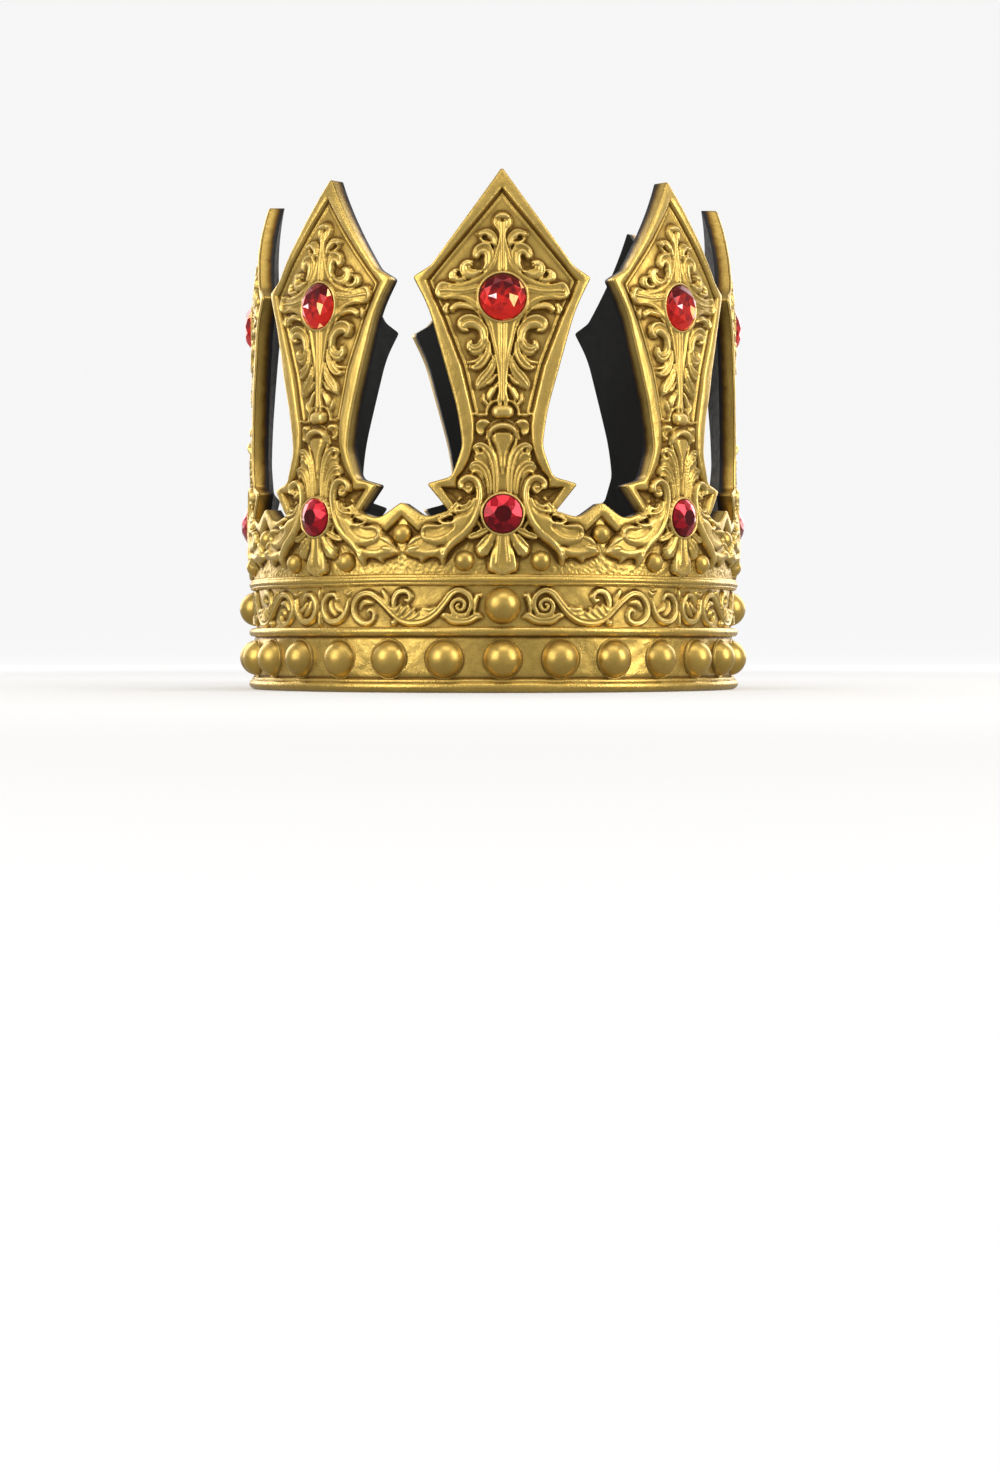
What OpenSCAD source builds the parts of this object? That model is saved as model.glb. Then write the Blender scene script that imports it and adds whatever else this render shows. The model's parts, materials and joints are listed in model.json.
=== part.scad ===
// Costume crown: one moulded shell with sixteen glued stones.
// Millimetres, +Z up, origin at the centre of the rim's underside, first spire towards -Y.
// Widths along the wall are arc lengths measured round its outside face.

/* [Ring] */
// Outside radius of the moulded wall
wall_r = 96; // [92:0.5:104]
// Thickness of the moulded wall
wall_t = 5; // [4:0.5:6]
// Height of the ring at the valleys beside the merlons
ring_h = 64; // [62:0.5:68]

/* [Spires] */
// Height of the spire tips above the rim
tip_h = 194; // [190:1:200]
// How far the spire tips lean inwards
tip_lean = 7; // [0:0.5:7]
// How far the raised frames stand out from the wall
frame_rise = 1.5; // [0.8:0.1:2]
// Width of the frame along the valleys and merlons
frame_w = 3.2; // [2.5:0.1:3.6]

/* [Merlons] */
// Height of the merlon peaks
merlon_h = 70.5; // [69:0.5:73]
// Width of a merlon at its foot
merlon_w = 19; // [12:0.5:19]
// Radius of the ball under each merlon
merlon_ball_r = 3.8; // [2.5:0.1:4]

/* [Studs and balls] */
// Number of studs in the lower row
stud_count = 28; // [20:4:28]
// Radius of a stud
stud_r = 7.1; // [5:0.1:7.5]
// Height of the studs' centres
stud_z = 12.5; // [12:0.5:13]
// Number of large balls in the frieze
frieze_ball_count = 4; // [4:4:8]
// Radius of a large ball in the frieze
frieze_ball_r = 6.9; // [5:0.1:7]
// Height of the frieze balls' centres
frieze_ball_z = 32; // [31:0.5:32]
// Radius of the pair of balls beside each lower stone
side_ball_r = 4; // [2.5:0.1:4]

/* [Stones] */
// Diameter of the stones in the spire panels
upper_stone_d = 17; // [14:0.5:18]
// Height of the upper stones' centres
upper_stone_z = 145; // [142:0.5:147]
// Diameter of the stones at the spire feet
lower_stone_d = 14; // [11:0.5:15]
// Height of the lower stones' centres
lower_stone_z = 65.5; // [64:0.5:67]
// How far a stone's table stands above its back
stone_t = 3.2; // [2:0.1:3.5]
// Glue gap round and behind a stone
seat_gap = 0.15; // [0.1:0.05:0.2]

/* [Hidden] */
$fn = 96;
// Number of spires, of merlons between them and of stones in each row
spire_count = 8;
UPPER_STONES = [for (i = [1:spire_count]) str("upper_stone_", i)];
LOWER_STONES = [for (i = [1:spire_count]) str("lower_stone_", i)];

// How far a cut runs past the solids
over = 1;

// Columns of the outline tables: half width along the wall, height
HALF = 0;
UP = 1;

// A spire from the valley up to just under its tip: foot, notch, barb, neck, flare, shoulder
SPIRE = [
    [30.0, ring_h - frame_w],
    [30.0, ring_h],
    [19.7, 67.0],
    [28.1, 76.5],
    [19.0, 78.9],
    [14.6, 90.3],
    [16.1, 102.6],
    [21.2, 120.6],
    [27.3, 141.8],
    [33.6, 153.3],
    [26.8, 157.0]
];
// Height above which the spires lean inwards, and the straight steps that their curve is cut into
lean_z = 138;
lean_steps = 5;
// The sunk panel in a spire's upper half, from its foot up to its corners, and its tip below the spire's
panel_margin = 9;
PANEL_TIP = tip_h - panel_margin;
PANEL = [
    [10.8, 101.8],
    [17.9, 127.0],
    [27.5, 150.8]
];
// The sunk field of the neck, between the frame's lower sides
NECK = [
    [17.4, ring_h - frame_w - over],
    [17.4, 71.0],
    [15.5, 77.5],
    [10.2, 90.3],
    [10.6, 100.0]
];
// Bead sections of the ring: height, how far the centre lies outside the wall, radius
BEADS = [
    [2.2, 0.2, 1.9],
    [4.2, 0.2, 0.8],
    [22.6, 0.4, 1.7],
    [40.2, 1.0, 0.6],
    [41.5, 0.9, 1.2],
    [42.8, 1.0, 0.6]
];
BEAD_Z = 0;
BEAD_OUT = 1;
BEAD_R = 2;
// The flat fascia that carries the triple upper bead: its foot, height and thickness
fascia_z = 39.2;
fascia_h = 4.6;
fascia_t = 1.1;

// The carved collar round a lower stone: hanging leaf, side leaves, stems and volutes
collar_rise = 2.6;
COLLAR = [
    [3.6, 45.0],
    [9.5, 51.5],
    [13.0, 55.0],
    [21.0, 46.5],
    [36.0, 51.5],
    [28.0, 60.0],
    [17.0, 66.0],
    [17.0, 75.0],
    [9.0, 79.5]
];
// The boss that seats a stone: its rim round the stone, how far it stands out, and its pocket
boss_rim = 1.3;
upper_boss_rise = 1.4;
lower_boss_rise = 3.0;
seat_depth = 1.2;
// A stone's girdle and table, as shares of its height and diameter
GIRDLE_SHARE = 0.28;
TABLE_SHARE = 0.55;
// Place of the balls beside each lower stone: along the wall from the stone, and up
side_ball_s = 14.1;
side_ball_z = 48.5;
// Height of the ball under each merlon
merlon_ball_z = 58.5;
// How far the merlon frame's foot lies below the spires' feet
merlon_foot_drop = 1.6;
merlon_foot_z = ring_h - frame_w - merlon_foot_drop;
// How deep the balls' centres lie inside the wall's face
stud_sink = 1.1;
frieze_sink = 0.8;
small_ball_sink = 0.5;
// Radial span of the blanks: they start inside the head bore and end outside the finished faces
blank_margin = 8;
blank_in = wall_r - wall_t - blank_margin;
blank_out = wall_r + blank_margin;
// Angle from one spire to the next
spire_turn = 360 / spire_count;

// How far the wall leans inwards at this height
function lean(up) = tip_lean * pow(max(0, up - lean_z) / (tip_h - lean_z), 2);
// Straight sideways place of a point that lies at this arc length from the centre line
function chord(arc) = wall_r * sin(arc / wall_r * 180 / PI);
// A table of half widths made into one symmetric outline, with an optional point on the centre line
function both_sides(rows, tip = []) = concat(
    [for (row = rows) [chord(row[HALF]), row[UP]]],
    [for (up = tip) [0, up]],
    [for (i = [len(rows) - 1:-1:0]) [-chord(rows[i][HALF]), rows[i][UP]]]
);

// Raises a flat drawing off the ring's axis towards -Y, from one radius to another
module radial(from = blank_in, to = blank_out) {
    translate([0, -from, 0])
    rotate([90, 0, 0])
    linear_extrude(to - from)
    children();
}

// A turned core with this radius below, whose side leans inwards above
module core(r) {
    rotate_extrude()
    polygon(concat(
        [[0, -over], [r, -over]],
        [for (i = [0:lean_steps]) let (up = lean_z + i / lean_steps * (tip_h + over - lean_z)) [r - lean(up), up]],
        [[0, tip_h + over]]
    ));
}

// Cuts the blanks to a curved face that stands out from the wall by this rise
module curved(rise) {
    intersection() {
        core(wall_r + rise);
        union() children();
    }
}

// Sets its children at every spire, or half a step round at every merlon
module at_spires(turn = 0) {
    for (i = [0:spire_count - 1]) {
        rotate([0, 0, i * spire_turn + turn]) children();
    }
}

// A ball whose centre lies on the wall at an arc length, a height and a depth
module ball(arc, up, r, sink) {
    rotate([0, 0, arc / wall_r * 180 / PI])
    translate([0, -(wall_r - sink), up])
    sphere(r);
}

module spire_plate() {
    radial() polygon(both_sides(SPIRE, [tip_h]));
}

// The panel and the neck field of a spire, down to the wall's face
module spire_recess() {
    radial(wall_r - wall_t - tip_lean) {
        polygon(both_sides(PANEL, [PANEL_TIP]));
        polygon(both_sides(NECK));
    }
}

module collar_relief() {
    radial() polygon(both_sides(COLLAR));
}

// A merlon, whose foot lies a little lower than the spires' so that no two faces share a plane
module merlon_plate() {
    radial() polygon([
        [chord(merlon_w / 2), merlon_foot_z],
        [chord(merlon_w / 2), ring_h],
        [0, merlon_h],
        [-chord(merlon_w / 2), ring_h],
        [-chord(merlon_w / 2), merlon_foot_z]
    ]);
}

// The sunk triangle inside a merlon's chevron frame
module merlon_recess() {
    radial(wall_r - wall_t) polygon([
        [chord(merlon_w / 2) - frame_w, merlon_foot_z - over],
        [0, merlon_h - frame_w - over],
        [frame_w - chord(merlon_w / 2), merlon_foot_z - over]
    ]);
}

// The ring's section turned round the axis: wall, fascia and beads
module ring_body() {
    rotate_extrude() {
        translate([blank_in, 0]) square([wall_r - blank_in, ring_h]);
        translate([blank_in, fascia_z]) square([wall_r + fascia_t - blank_in, fascia_h]);
        for (bead = BEADS) {
            translate([wall_r + bead[BEAD_OUT], bead[BEAD_Z]]) circle(bead[BEAD_R]);
        }
    }
}

module studs() {
    for (i = [0:stud_count - 1]) {
        rotate([0, 0, i * 360 / stud_count]) ball(0, stud_z, stud_r, stud_sink);
    }
}

module frieze_balls() {
    for (i = [0:frieze_ball_count - 1]) {
        rotate([0, 0, i * 360 / frieze_ball_count]) ball(0, frieze_ball_z, frieze_ball_r, frieze_sink);
    }
}

module small_balls() {
    at_spires() {
        ball(-side_ball_s, side_ball_z, side_ball_r, small_ball_sink);
        ball(side_ball_s, side_ball_z, side_ball_r, small_ball_sink);
    }
    at_spires(spire_turn / 2) ball(0, merlon_ball_z, merlon_ball_r, small_ball_sink);
}

// A round boss with a flat face for a stone
module stone_boss(stone_d, up, rise) {
    translate([0, -blank_in, up])
    rotate([90, 0, 0])
    cylinder(d = stone_d + 2 * boss_rim, h = wall_r + rise - blank_in);
}

// The flat-bottomed pocket in that boss
module stone_seat(stone_d, up, rise) {
    translate([0, -(wall_r + rise - seat_depth), up])
    rotate([90, 0, 0])
    cylinder(d = stone_d + 2 * seat_gap, h = seat_depth + over);
}

// A flat-backed stone: a straight girdle and a sloping crown up to its table
module stone(stone_d, up, rise) {
    girdle = stone_t * GIRDLE_SHARE;
    translate([0, -(wall_r + rise - seat_depth + seat_gap), up])
    rotate([90, 0, 0])
    union() {
        cylinder(d = stone_d, h = girdle);
        translate([0, 0, girdle])
        cylinder(d1 = stone_d, d2 = stone_d * TABLE_SHARE, h = stone_t - girdle);
    }
}

// The spires and merlons at the full height of their frames
module raised_plates() {
    curved(frame_rise) {
        at_spires() spire_plate();
        at_spires(spire_turn / 2) merlon_plate();
    }
}

// What is sunk between the frames, outside the wall's face
module sunk_fields() {
    difference() {
        union() {
            at_spires() spire_recess();
            at_spires(spire_turn / 2) merlon_recess();
        }
        core(wall_r);
    }
}

module crown_shell() {
    color("goldenrod")
    difference() {
        union() {
            difference() {
                raised_plates();
                sunk_fields();
            }
            ring_body();
            curved(collar_rise) at_spires() collar_relief();
            studs();
            frieze_balls();
            small_balls();
            at_spires() {
                stone_boss(upper_stone_d, upper_stone_z, upper_boss_rise);
                stone_boss(lower_stone_d, lower_stone_z, lower_boss_rise);
            }
        }
        core(wall_r - wall_t);
        at_spires() {
            stone_seat(upper_stone_d, upper_stone_z, upper_boss_rise);
            stone_seat(lower_stone_d, lower_stone_z, lower_boss_rise);
        }
    }
}

module upper_stone(i) {
    color("crimson")
    rotate([0, 0, (i - 1) * spire_turn])
    stone(upper_stone_d, upper_stone_z, upper_boss_rise);
}

module lower_stone(i) {
    color("firebrick")
    rotate([0, 0, (i - 1) * spire_turn])
    stone(lower_stone_d, lower_stone_z, lower_boss_rise);
}

crown_shell();
for (i = [1:spire_count]) {
    upper_stone(i);
    lower_stone(i);
}
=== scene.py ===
# Costume crown: the carved gold ring and spires with their red stones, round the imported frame
import json
import math
from collections import namedtuple

import bpy
import numpy as np
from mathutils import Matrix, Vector
from mathutils.geometry import delaunay_2d_cdt

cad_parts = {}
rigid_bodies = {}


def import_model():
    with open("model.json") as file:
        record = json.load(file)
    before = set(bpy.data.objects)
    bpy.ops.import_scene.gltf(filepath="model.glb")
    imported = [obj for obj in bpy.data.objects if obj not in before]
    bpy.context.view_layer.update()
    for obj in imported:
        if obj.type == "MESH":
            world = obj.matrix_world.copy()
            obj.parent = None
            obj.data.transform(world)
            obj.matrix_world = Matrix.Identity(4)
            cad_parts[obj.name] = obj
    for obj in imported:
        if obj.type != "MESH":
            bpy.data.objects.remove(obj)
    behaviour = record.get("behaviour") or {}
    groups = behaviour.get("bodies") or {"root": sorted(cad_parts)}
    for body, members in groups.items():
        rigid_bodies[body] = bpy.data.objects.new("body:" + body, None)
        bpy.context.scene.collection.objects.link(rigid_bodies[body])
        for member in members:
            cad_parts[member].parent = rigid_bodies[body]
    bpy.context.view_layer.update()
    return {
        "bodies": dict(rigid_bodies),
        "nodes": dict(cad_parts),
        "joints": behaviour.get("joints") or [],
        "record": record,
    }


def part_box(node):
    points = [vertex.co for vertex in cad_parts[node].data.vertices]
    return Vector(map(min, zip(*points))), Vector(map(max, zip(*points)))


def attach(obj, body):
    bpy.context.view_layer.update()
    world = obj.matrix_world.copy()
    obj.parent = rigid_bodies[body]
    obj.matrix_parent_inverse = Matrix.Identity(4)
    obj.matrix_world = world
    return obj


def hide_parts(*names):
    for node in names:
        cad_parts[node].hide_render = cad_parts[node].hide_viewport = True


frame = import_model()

bl_info = {
    "name": "Costume Crown",
    "version": (1, 0, 0),
    "blender": (4, 5, 0),
    "location": "3D View > Sidebar > Crown",
    "description": "Builds a carved costume crown with faceted stones round its measured frame",
    "category": "Add Mesh",
}

# Shared places of the crown, in millimetres: along the wall, up it and out of it
MM = 0.001
BODY = "root"
SHELL = "crown_shell"
TIP_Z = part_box(SHELL)[1].z / MM
WALL_R = 96.0
BORE_R = 91.0
BORE_OUT = BORE_R - WALL_R
SPIRES = 8
SECTOR = 2 * math.pi * WALL_R / SPIRES
SEAM = SECTOR / 2
FRIEZE_BALLS = 4
QUARTER = 2 * math.pi * WALL_R / FRIEZE_BALLS
MIRROR = QUARTER / 2
STUDS = 28
STUD_Z = 12.5
FRIEZE_BALL_Z = 32.0
SPIRE_FOOT = 43.4
# Height above which the spires lean inwards, and how far their tips do
LEAN_START, TIP_LEAN = 138.0, 7.0
HALF = 2
# Painted facet light of a stone above 1 marks a painted reflection: the foil's warm flash and the pale spark
FLASH, SPARK = 1.2, 1.5
# Widths of the stones' tables as shares of their radius
UPPER_TABLE, LOWER_TABLE = 0.66, 0.45
# Light that the floor and the backdrop give back to the crown
ROOM_GLOW = (0.14, 0.54)
# Distances from the axis, in metres, between which bare moulding turns to wash and wash to paint
WASHED_FROM = (0.0919, 0.0932)
PAINTED_FROM = (0.0924, 0.0956)
# Gap between a stone and the wall of its seat in the carved face
SEAT_PLAY = 0.12

# Ways of carving: a stroke along a route, a plate inside an outline and a drilled pit
Stroke = namedtuple("Stroke", "rise ridges cut route")
Plate = namedtuple("Plate", "rise rim edge outline")
Pit = namedtuple("Pit", "across up radius depth")
Ball = namedtuple("Ball", "across up radius sink collar")
Stone = namedtuple("Stone", "up radius back table")
# A softbox: degrees round the crown and above it, metres away from it, and its own size in metres
Lamp = namedtuple("Lamp", "name power azimuth elevation distance width height")


def stone_place(node):
    """A stone's height, radius, back and table, read from the frame in millimetres."""
    low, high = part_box(node)
    return Stone(*(value / MM for value in (
        (low.z + high.z) / 2, (high.x - low.x) / 2, -high.y, -low.y)))


UPPER_STONE = stone_place("upper_stone_1")
LOWER_STONE = stone_place("lower_stone_1")

# The outline from the tip down to the peak between two spires: across, up, and the corner's rounding
SPIRE_SIDE = [
    (0.0, TIP_Z, 1.6),
    (26.6, 157.2, 1.5),
    (33.5, 153.2, 1.2),
    (27.3, 141.8, 6.0),
    (21.2, 120.6, 8.0),
    (16.1, 102.6, 8.0),
    (14.7, 90.4, 2.5),
    (18.6, 79.4, 2.0),
    (28.0, 76.9, 1.4),
    (19.8, 66.9, 0.6),
    (28.4, 64.3, 3.5),
    (SEAM, 70.4, 1.4),
]
# The inner edge of the raised frame: panel, neck, barb, valley and merlon
FRAME_INSIDE = [
    (0.0, 185.6), (28.2, 151.6), (22.0, 138.0), (15.0, 120.0), (12.6, 110.0), (10.8, 102.4), (10.3, 98.0),
    (10.4, 93.0), (11.0, 89.6), (12.4, 85.4), (14.4, 81.6), (16.6, 78.9), (16.9, 75.4), (22.3, 75.4),
    (17.4, 68.7), (18.6, 66.4), (20.6, 64.4), (24.0, 62.0), (28.0, 60.9), (31.4, 59.2), (SEAM, 65.0)]
FRAME_RISE = 1.5
# Heights between which the band's flat ground is crumpled
CRUMPLED = (SPIRE_FOOT + 0.3, 60.0)
# The sunk field round a merlon's ball: half width, foot and depth, and the fades at its side and foot
MERLON_FIELD = (9.5, 56.0, 0.7)
MERLON_FADES = (2.0, 2.5)
PANEL_FOOT = 102.2
PANEL_GROUND = -0.65

# The star and the leaves of a spire's panel, in points of across, up and half width
PANEL_CARVING = [
    Plate(1.1, 0.5, 0.9, [
        (0, 177.2), (2.4, 176.2), (3.8, 173.8), (3.5, 171.6), (1.9, 169.4), (1.7, 167), (2.6, 163),
        (4.0, 158.4), (6.6, 154.6), (10.4, 151.8), (15.6, 150.3), (19.6, 150.8), (22.6, 151.2),
        (24.8, 148.8), (24.3, 145.6), (21.8, 144.2), (17, 144.6), (12, 143), (8, 139.4), (5.6, 135),
        (4.2, 128.4), (2.9, 123.2), (2.2, 117.6), (1.9, 111), (2.4, 107), (0, 105.6)]),
    Stroke(2.0, 2, 0.45, [(0, 173.6, 2.9), (0, 171.4, 2.3), (0, 168.4, 1.3), (0, 163, 1.1), (0, 156, 1.8)]),
    Stroke(2.5, 1, 0, [
        (-3.0, 174.0, 0.5), (-1.6, 175.2, 1.1), (0, 175.4, 1.4), (1.6, 175.2, 1.1), (3.0, 174.0, 0.5)]),
    Stroke(-0.8, 1, 0, [(-3.2, 174.4, 0.3), (0, 173.7, 0.5), (3.2, 174.4, 0.3)]),
    Stroke(2.0, 2, 0.45, [(0, 137, 2.3), (0, 129, 1.9), (0, 118, 1.2), (0, 107.6, 1.5)]),
    Stroke(2.0, 3, 0.35, [(9, 148.4, 1.6), (15, 147.4, 1.6), (20.0, 147.7, 2.1), (22.4, 147.8, 2.4)]),
    Stroke(2.2, 1, 0, [
        (20.4, 150.2, 0.6), (22.6, 150.2, 1.0), (23.9, 148.2, 1.1), (23.5, 145.9, 0.9),
        (21.4, 145.0, 0.6)]),
    Stroke(2.0, 1, 0, [
        (0.9, 168.0, 0.45), (1.3, 164.0, 0.55), (2.2, 160.0, 0.6), (4.2, 156.2, 0.65), (7.6, 153.0, 0.65),
        (12.0, 150.9, 0.6), (17.4, 150.0, 0.5), (20.6, 150.2, 0.4)]),
    Stroke(1.7, 1, 0, [
        (2.6, 166.4, 0.4), (3.0, 162.4, 0.5), (4.5, 158.4, 0.5), (7.2, 154.9, 0.55), (10.8, 152.4, 0.5),
        (14.6, 151.3, 0.4)]),
    Stroke(2.0, 1, 0, [
        (19.8, 144.9, 0.4), (14.4, 144.3, 0.55), (10.0, 141.8, 0.65), (7.1, 138.4, 0.65),
        (5.0, 134.4, 0.6), (3.5, 128.6, 0.6), (2.3, 122.6, 0.55), (1.6, 116.6, 0.5), (1.3, 110.6, 0.5)]),
    Stroke(1.7, 1, 0, [
        (12.6, 142.6, 0.4), (9.2, 139.4, 0.5), (7.0, 135.6, 0.5), (5.6, 131.0, 0.5), (4.5, 126.4, 0.5),
        (3.6, 122.0, 0.4)]),
    Stroke(2.3, 1, 0.5, [
        (3.0, 164.6, 0.9), (3.4, 167.0, 1.6), (5.4, 168.5, 2.0), (7.8, 168.5, 1.4), (9.6, 168.9, 0.3)]),
    Stroke(1.7, 1, 0, [(4.4, 165.0, 0.8), (6.8, 165.6, 0.9), (8.6, 167.4, 0.4)]),
    Stroke(2.2, 1, 0.35, [
        (6.6, 155.6, 1.2), (5.4, 158.2, 2.0), (5.8, 161.4, 2.7), (7.6, 162.3, 2.6), (9.3, 161.0, 1.9),
        (9.8, 159.6, 1.1), (9.4, 158.6, 0.4)]),
    Stroke(2.6, 1, 0, [
        (4.0, 162.4, 0.5), (5.2, 164.3, 0.7), (7.4, 164.6, 0.75), (9.6, 163.4, 0.75), (10.6, 161.2, 0.7),
        (10.2, 159.2, 0.5)]),
    Stroke(2.5, 1, 0, [(6.0, 160.6, 0.5), (7.2, 161.4, 0.6), (8.4, 160.6, 0.5)]),
    Stroke(2.2, 1, 0.35, [
        (8.6, 154.6, 1.2), (11.2, 153.6, 2.0), (13.4, 154.6, 2.3), (13.8, 156.4, 1.7), (12.6, 157.4, 1.1),
        (11.6, 157.0, 0.5)]),
    Stroke(2.6, 1, 0, [
        (10.6, 152.3, 0.4), (13.4, 152.6, 0.65), (15.2, 154.4, 0.7), (15.1, 156.8, 0.7),
        (13.4, 158.3, 0.65), (11.4, 158.2, 0.5)]),
    Stroke(2.1, 1, 0.35, [
        (14.0, 151.9, 0.9), (16.4, 151.7, 1.4), (18.0, 152.6, 1.5), (17.9, 154.0, 1.1),
        (16.8, 154.4, 0.5)]),
    Stroke(2.3, 1, 0, [
        (17.2, 150.9, 0.4), (19.2, 151.9, 0.55), (19.4, 153.8, 0.55), (17.8, 155.2, 0.55),
        (16.2, 155.2, 0.4)]),
    Stroke(2.1, 1, 0.45, [
        (10.8, 141.0, 0.8), (13.6, 142.0, 1.2), (16.6, 142.1, 1.3), (18.5, 140.9, 1.1),
        (18.4, 139.9, 0.5)]),
    Stroke(1.6, 1, 0, [(20.6, 142.6, 0.8), (21.1, 141.2, 1.2), (20.7, 139.8, 0.8)]),
    Stroke(2.3, 1, 0.35, [
        (6.7, 129.6, 1.7), (7.4, 132.8, 2.2), (9.6, 135.3, 2.4), (12.4, 135.8, 2.4), (14.2, 134.8, 1.8),
        (14.0, 133.8, 0.8)]),
    Stroke(2.7, 1, 0, [
        (7.2, 135.0, 0.4), (9.0, 137.2, 0.65), (12.0, 138.2, 0.75), (14.8, 137.4, 0.8), (16.0, 135.3, 0.8),
        (14.8, 133.2, 0.8), (12.8, 132.9, 0.5)]),
    Stroke(2.5, 1, 0, [(9.4, 134.2, 0.4), (11.2, 135.4, 0.7), (13.0, 134.9, 0.6)]),
    Stroke(2.4, 3, 0.4, [
        (12.0, 128.8, 0.8), (11.9, 126.9, 1.5), (10.0, 126.1, 2.0), (7.8, 127.2, 2.1), (6.9, 129.8, 1.6)]),
    Stroke(2.0, 1, 0.4, [(12.4, 127.2, 0.6), (11.0, 124.8, 0.9), (8.4, 124.6, 0.9), (6.6, 126.4, 0.7)]),
    Stroke(2.2, 2, 0.5, [
        (5.2, 128.2, 0.9), (5.4, 124.6, 1.5), (7.2, 121.2, 1.9), (9.6, 119.4, 1.4), (12.0, 119.6, 0.3)]),
    Stroke(1.7, 1, 0, [(7.4, 124.0, 0.6), (9.4, 121.8, 0.9), (12.8, 121.2, 0.3)]),
    Stroke(2.2, 3, 0.5, [
        (3.2, 123.0, 0.7), (4.2, 119.0, 1.8), (6.6, 115.8, 2.3), (8.6, 113.4, 1.6), (9.2, 111.2, 0.3)]),
    Stroke(1.8, 1, 0, [(2.6, 116.4, 0.6), (4.6, 113.9, 0.9), (8.2, 111.9, 0.4)]),
    Stroke(1.9, 1, 0.4, [(2.0, 113.4, 0.6), (3.6, 110.8, 1.2), (4.9, 108.4, 1.1), (4.6, 106.8, 0.4)]),
    Stroke(1.6, 1, 0, [(6.8, 109.4, 0.4), (6.9, 107.4, 0.9), (5.6, 105.6, 0.7), (5.5, 104.2, 0.3)]),
    Pit(8.8, 157.2, 1.75, 2.4),
    Pit(10.3, 158.9, 0.7, 1.4),
    Pit(10.4, 131.5, 1.55, 2.2),
    Pit(11.9, 132.3, 0.8, 1.2),
    Pit(6.6, 167.3, 1.0, 1.5),
    Pit(7.6, 160.0, 1.0, 0.9),
    Pit(16.0, 153.4, 0.7, 1.0),
    Pit(5.6, 112.3, 0.8, 0.6),
]
# The bud, shells, hood and fanned leaves of a spire's neck
NECK_CARVING = [
    Stroke(2.9, 1, 0, [(-1.6, 103.0, 2.7), (1.6, 103.0, 2.7)]),
    Stroke(1.7, 1, 0, [(5.9, 101.8, 0.5), (5.5, 104.2, 0.6), (3.6, 106.6, 0.6), (0, 107.5, 0.6)]),
    Stroke(1.4, 1, 0, [(5.6, 102.1, 0.5), (8.4, 101.9, 0.6), (11.2, 102.6, 0.5)]),
    Plate(2.0, 0.2, 1.5, [
        (4.2, 99.2), (5.8, 100.5), (8.2, 100.4), (9.8, 98.8), (9.9, 96.4), (8.9, 94.6), (7.2, 94.3),
        (6.4, 95.8), (5.4, 97.6)]),
    Plate(1.5, 0, 1.3, [
        (-2, 98.5), (3.6, 97.6), (4.9, 95.4), (4.6, 92.6), (3.4, 90.2), (3.0, 88.2), (4.4, 88.6),
        (6.4, 90.4), (8.8, 91.3), (10.9, 90.4), (10.9, 87.2), (10.8, 85.2), (12.6, 83.0), (12.2, 80.6),
        (9.4, 80.8), (7.6, 78.6), (6.6, 75.2), (6.6, 70.4), (7.6, 66), (6.6, 60), (-2, 57)]),
    Plate(2.5, 0, 2.4, [
        (-2, 97.4), (3.2, 96.8), (4.4, 95.0), (4.1, 92.4), (2.9, 89.6), (1.9, 86.4), (1.3, 82),
        (-1.3, 82)]),
    Stroke(3.1, 1, 0, [(0, 94.0, 0.5), (0, 90.0, 0.7), (0, 85.0, 0.6), (0, 80.0, 0.5)]),
    Stroke(2.6, 1, 0, [
        (5.1, 94.2, 0.4), (4.9, 92.0, 0.5), (3.6, 89.0, 0.6), (2.4, 86.0, 0.6), (1.4, 81.0, 0.5),
        (1.2, 74.0, 0.5)]),
    Stroke(3.5, 1, 0, [(5.0, 93.8, 0.5), (4.2, 96.1, 1.0), (2.3, 97.5, 1.4), (0, 97.9, 1.5)]),
    Stroke(-0.9, 1, 0, [(3.5, 94.8, 0.4), (2.0, 95.6, 0.5), (0, 95.8, 0.6)]),
    Stroke(1.7, 1, 0, [(5.9, 93.0, 0.45), (5.4, 96.6, 0.5), (3.2, 99.2, 0.55), (0, 100.0, 0.55)]),
    Stroke(2.9, 2, 0.45, [
        (10.4, 89.6, 0.6), (8.9, 90.8, 1.2), (6.6, 90.0, 1.7), (4.5, 87.4, 1.8), (3.2, 83.4, 1.5),
        (2.6, 79.0, 1.3), (2.6, 73.2, 1.1)]),
    Stroke(2.2, 1, 0.4, [(5.8, 85.2, 0.7), (6.8, 87.2, 1.3), (8.6, 87.7, 1.2), (10.0, 86.6, 0.6)]),
    Stroke(2.7, 2, 0.45, [
        (12.0, 82.6, 0.6), (10.4, 84.0, 1.2), (8.2, 83.6, 1.6), (6.2, 81.4, 1.7), (5.0, 77.8, 1.5),
        (4.7, 74.4, 1.2), (5.2, 71.8, 0.7)]),
    Stroke(2.2, 1, 0.4, [(7.0, 78.6, 0.7), (7.8, 80.6, 1.2), (9.6, 81.4, 1.1), (11.2, 80.8, 0.6)]),
    Stroke(2.3, 1, 0, [
        (12.6, 81.4, 0.4), (9.6, 80.6, 0.55), (7.4, 78.0, 0.65), (6.4, 74.4, 0.65), (6.7, 70.6, 0.65),
        (7.7, 66.4, 0.6), (8.9, 63.4, 0.5)]),
    Pit(9.6, 93.0, 1.3, 1.4),
    Pit(7.8, 97.3, 1.9, 1.5),
    Pit(7.9, 89.2, 0.8, 0.7),
    Pit(10.9, 87.9, 0.8, 1.0),
    Pit(12.4, 80.9, 0.8, 1.0),
]
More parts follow.
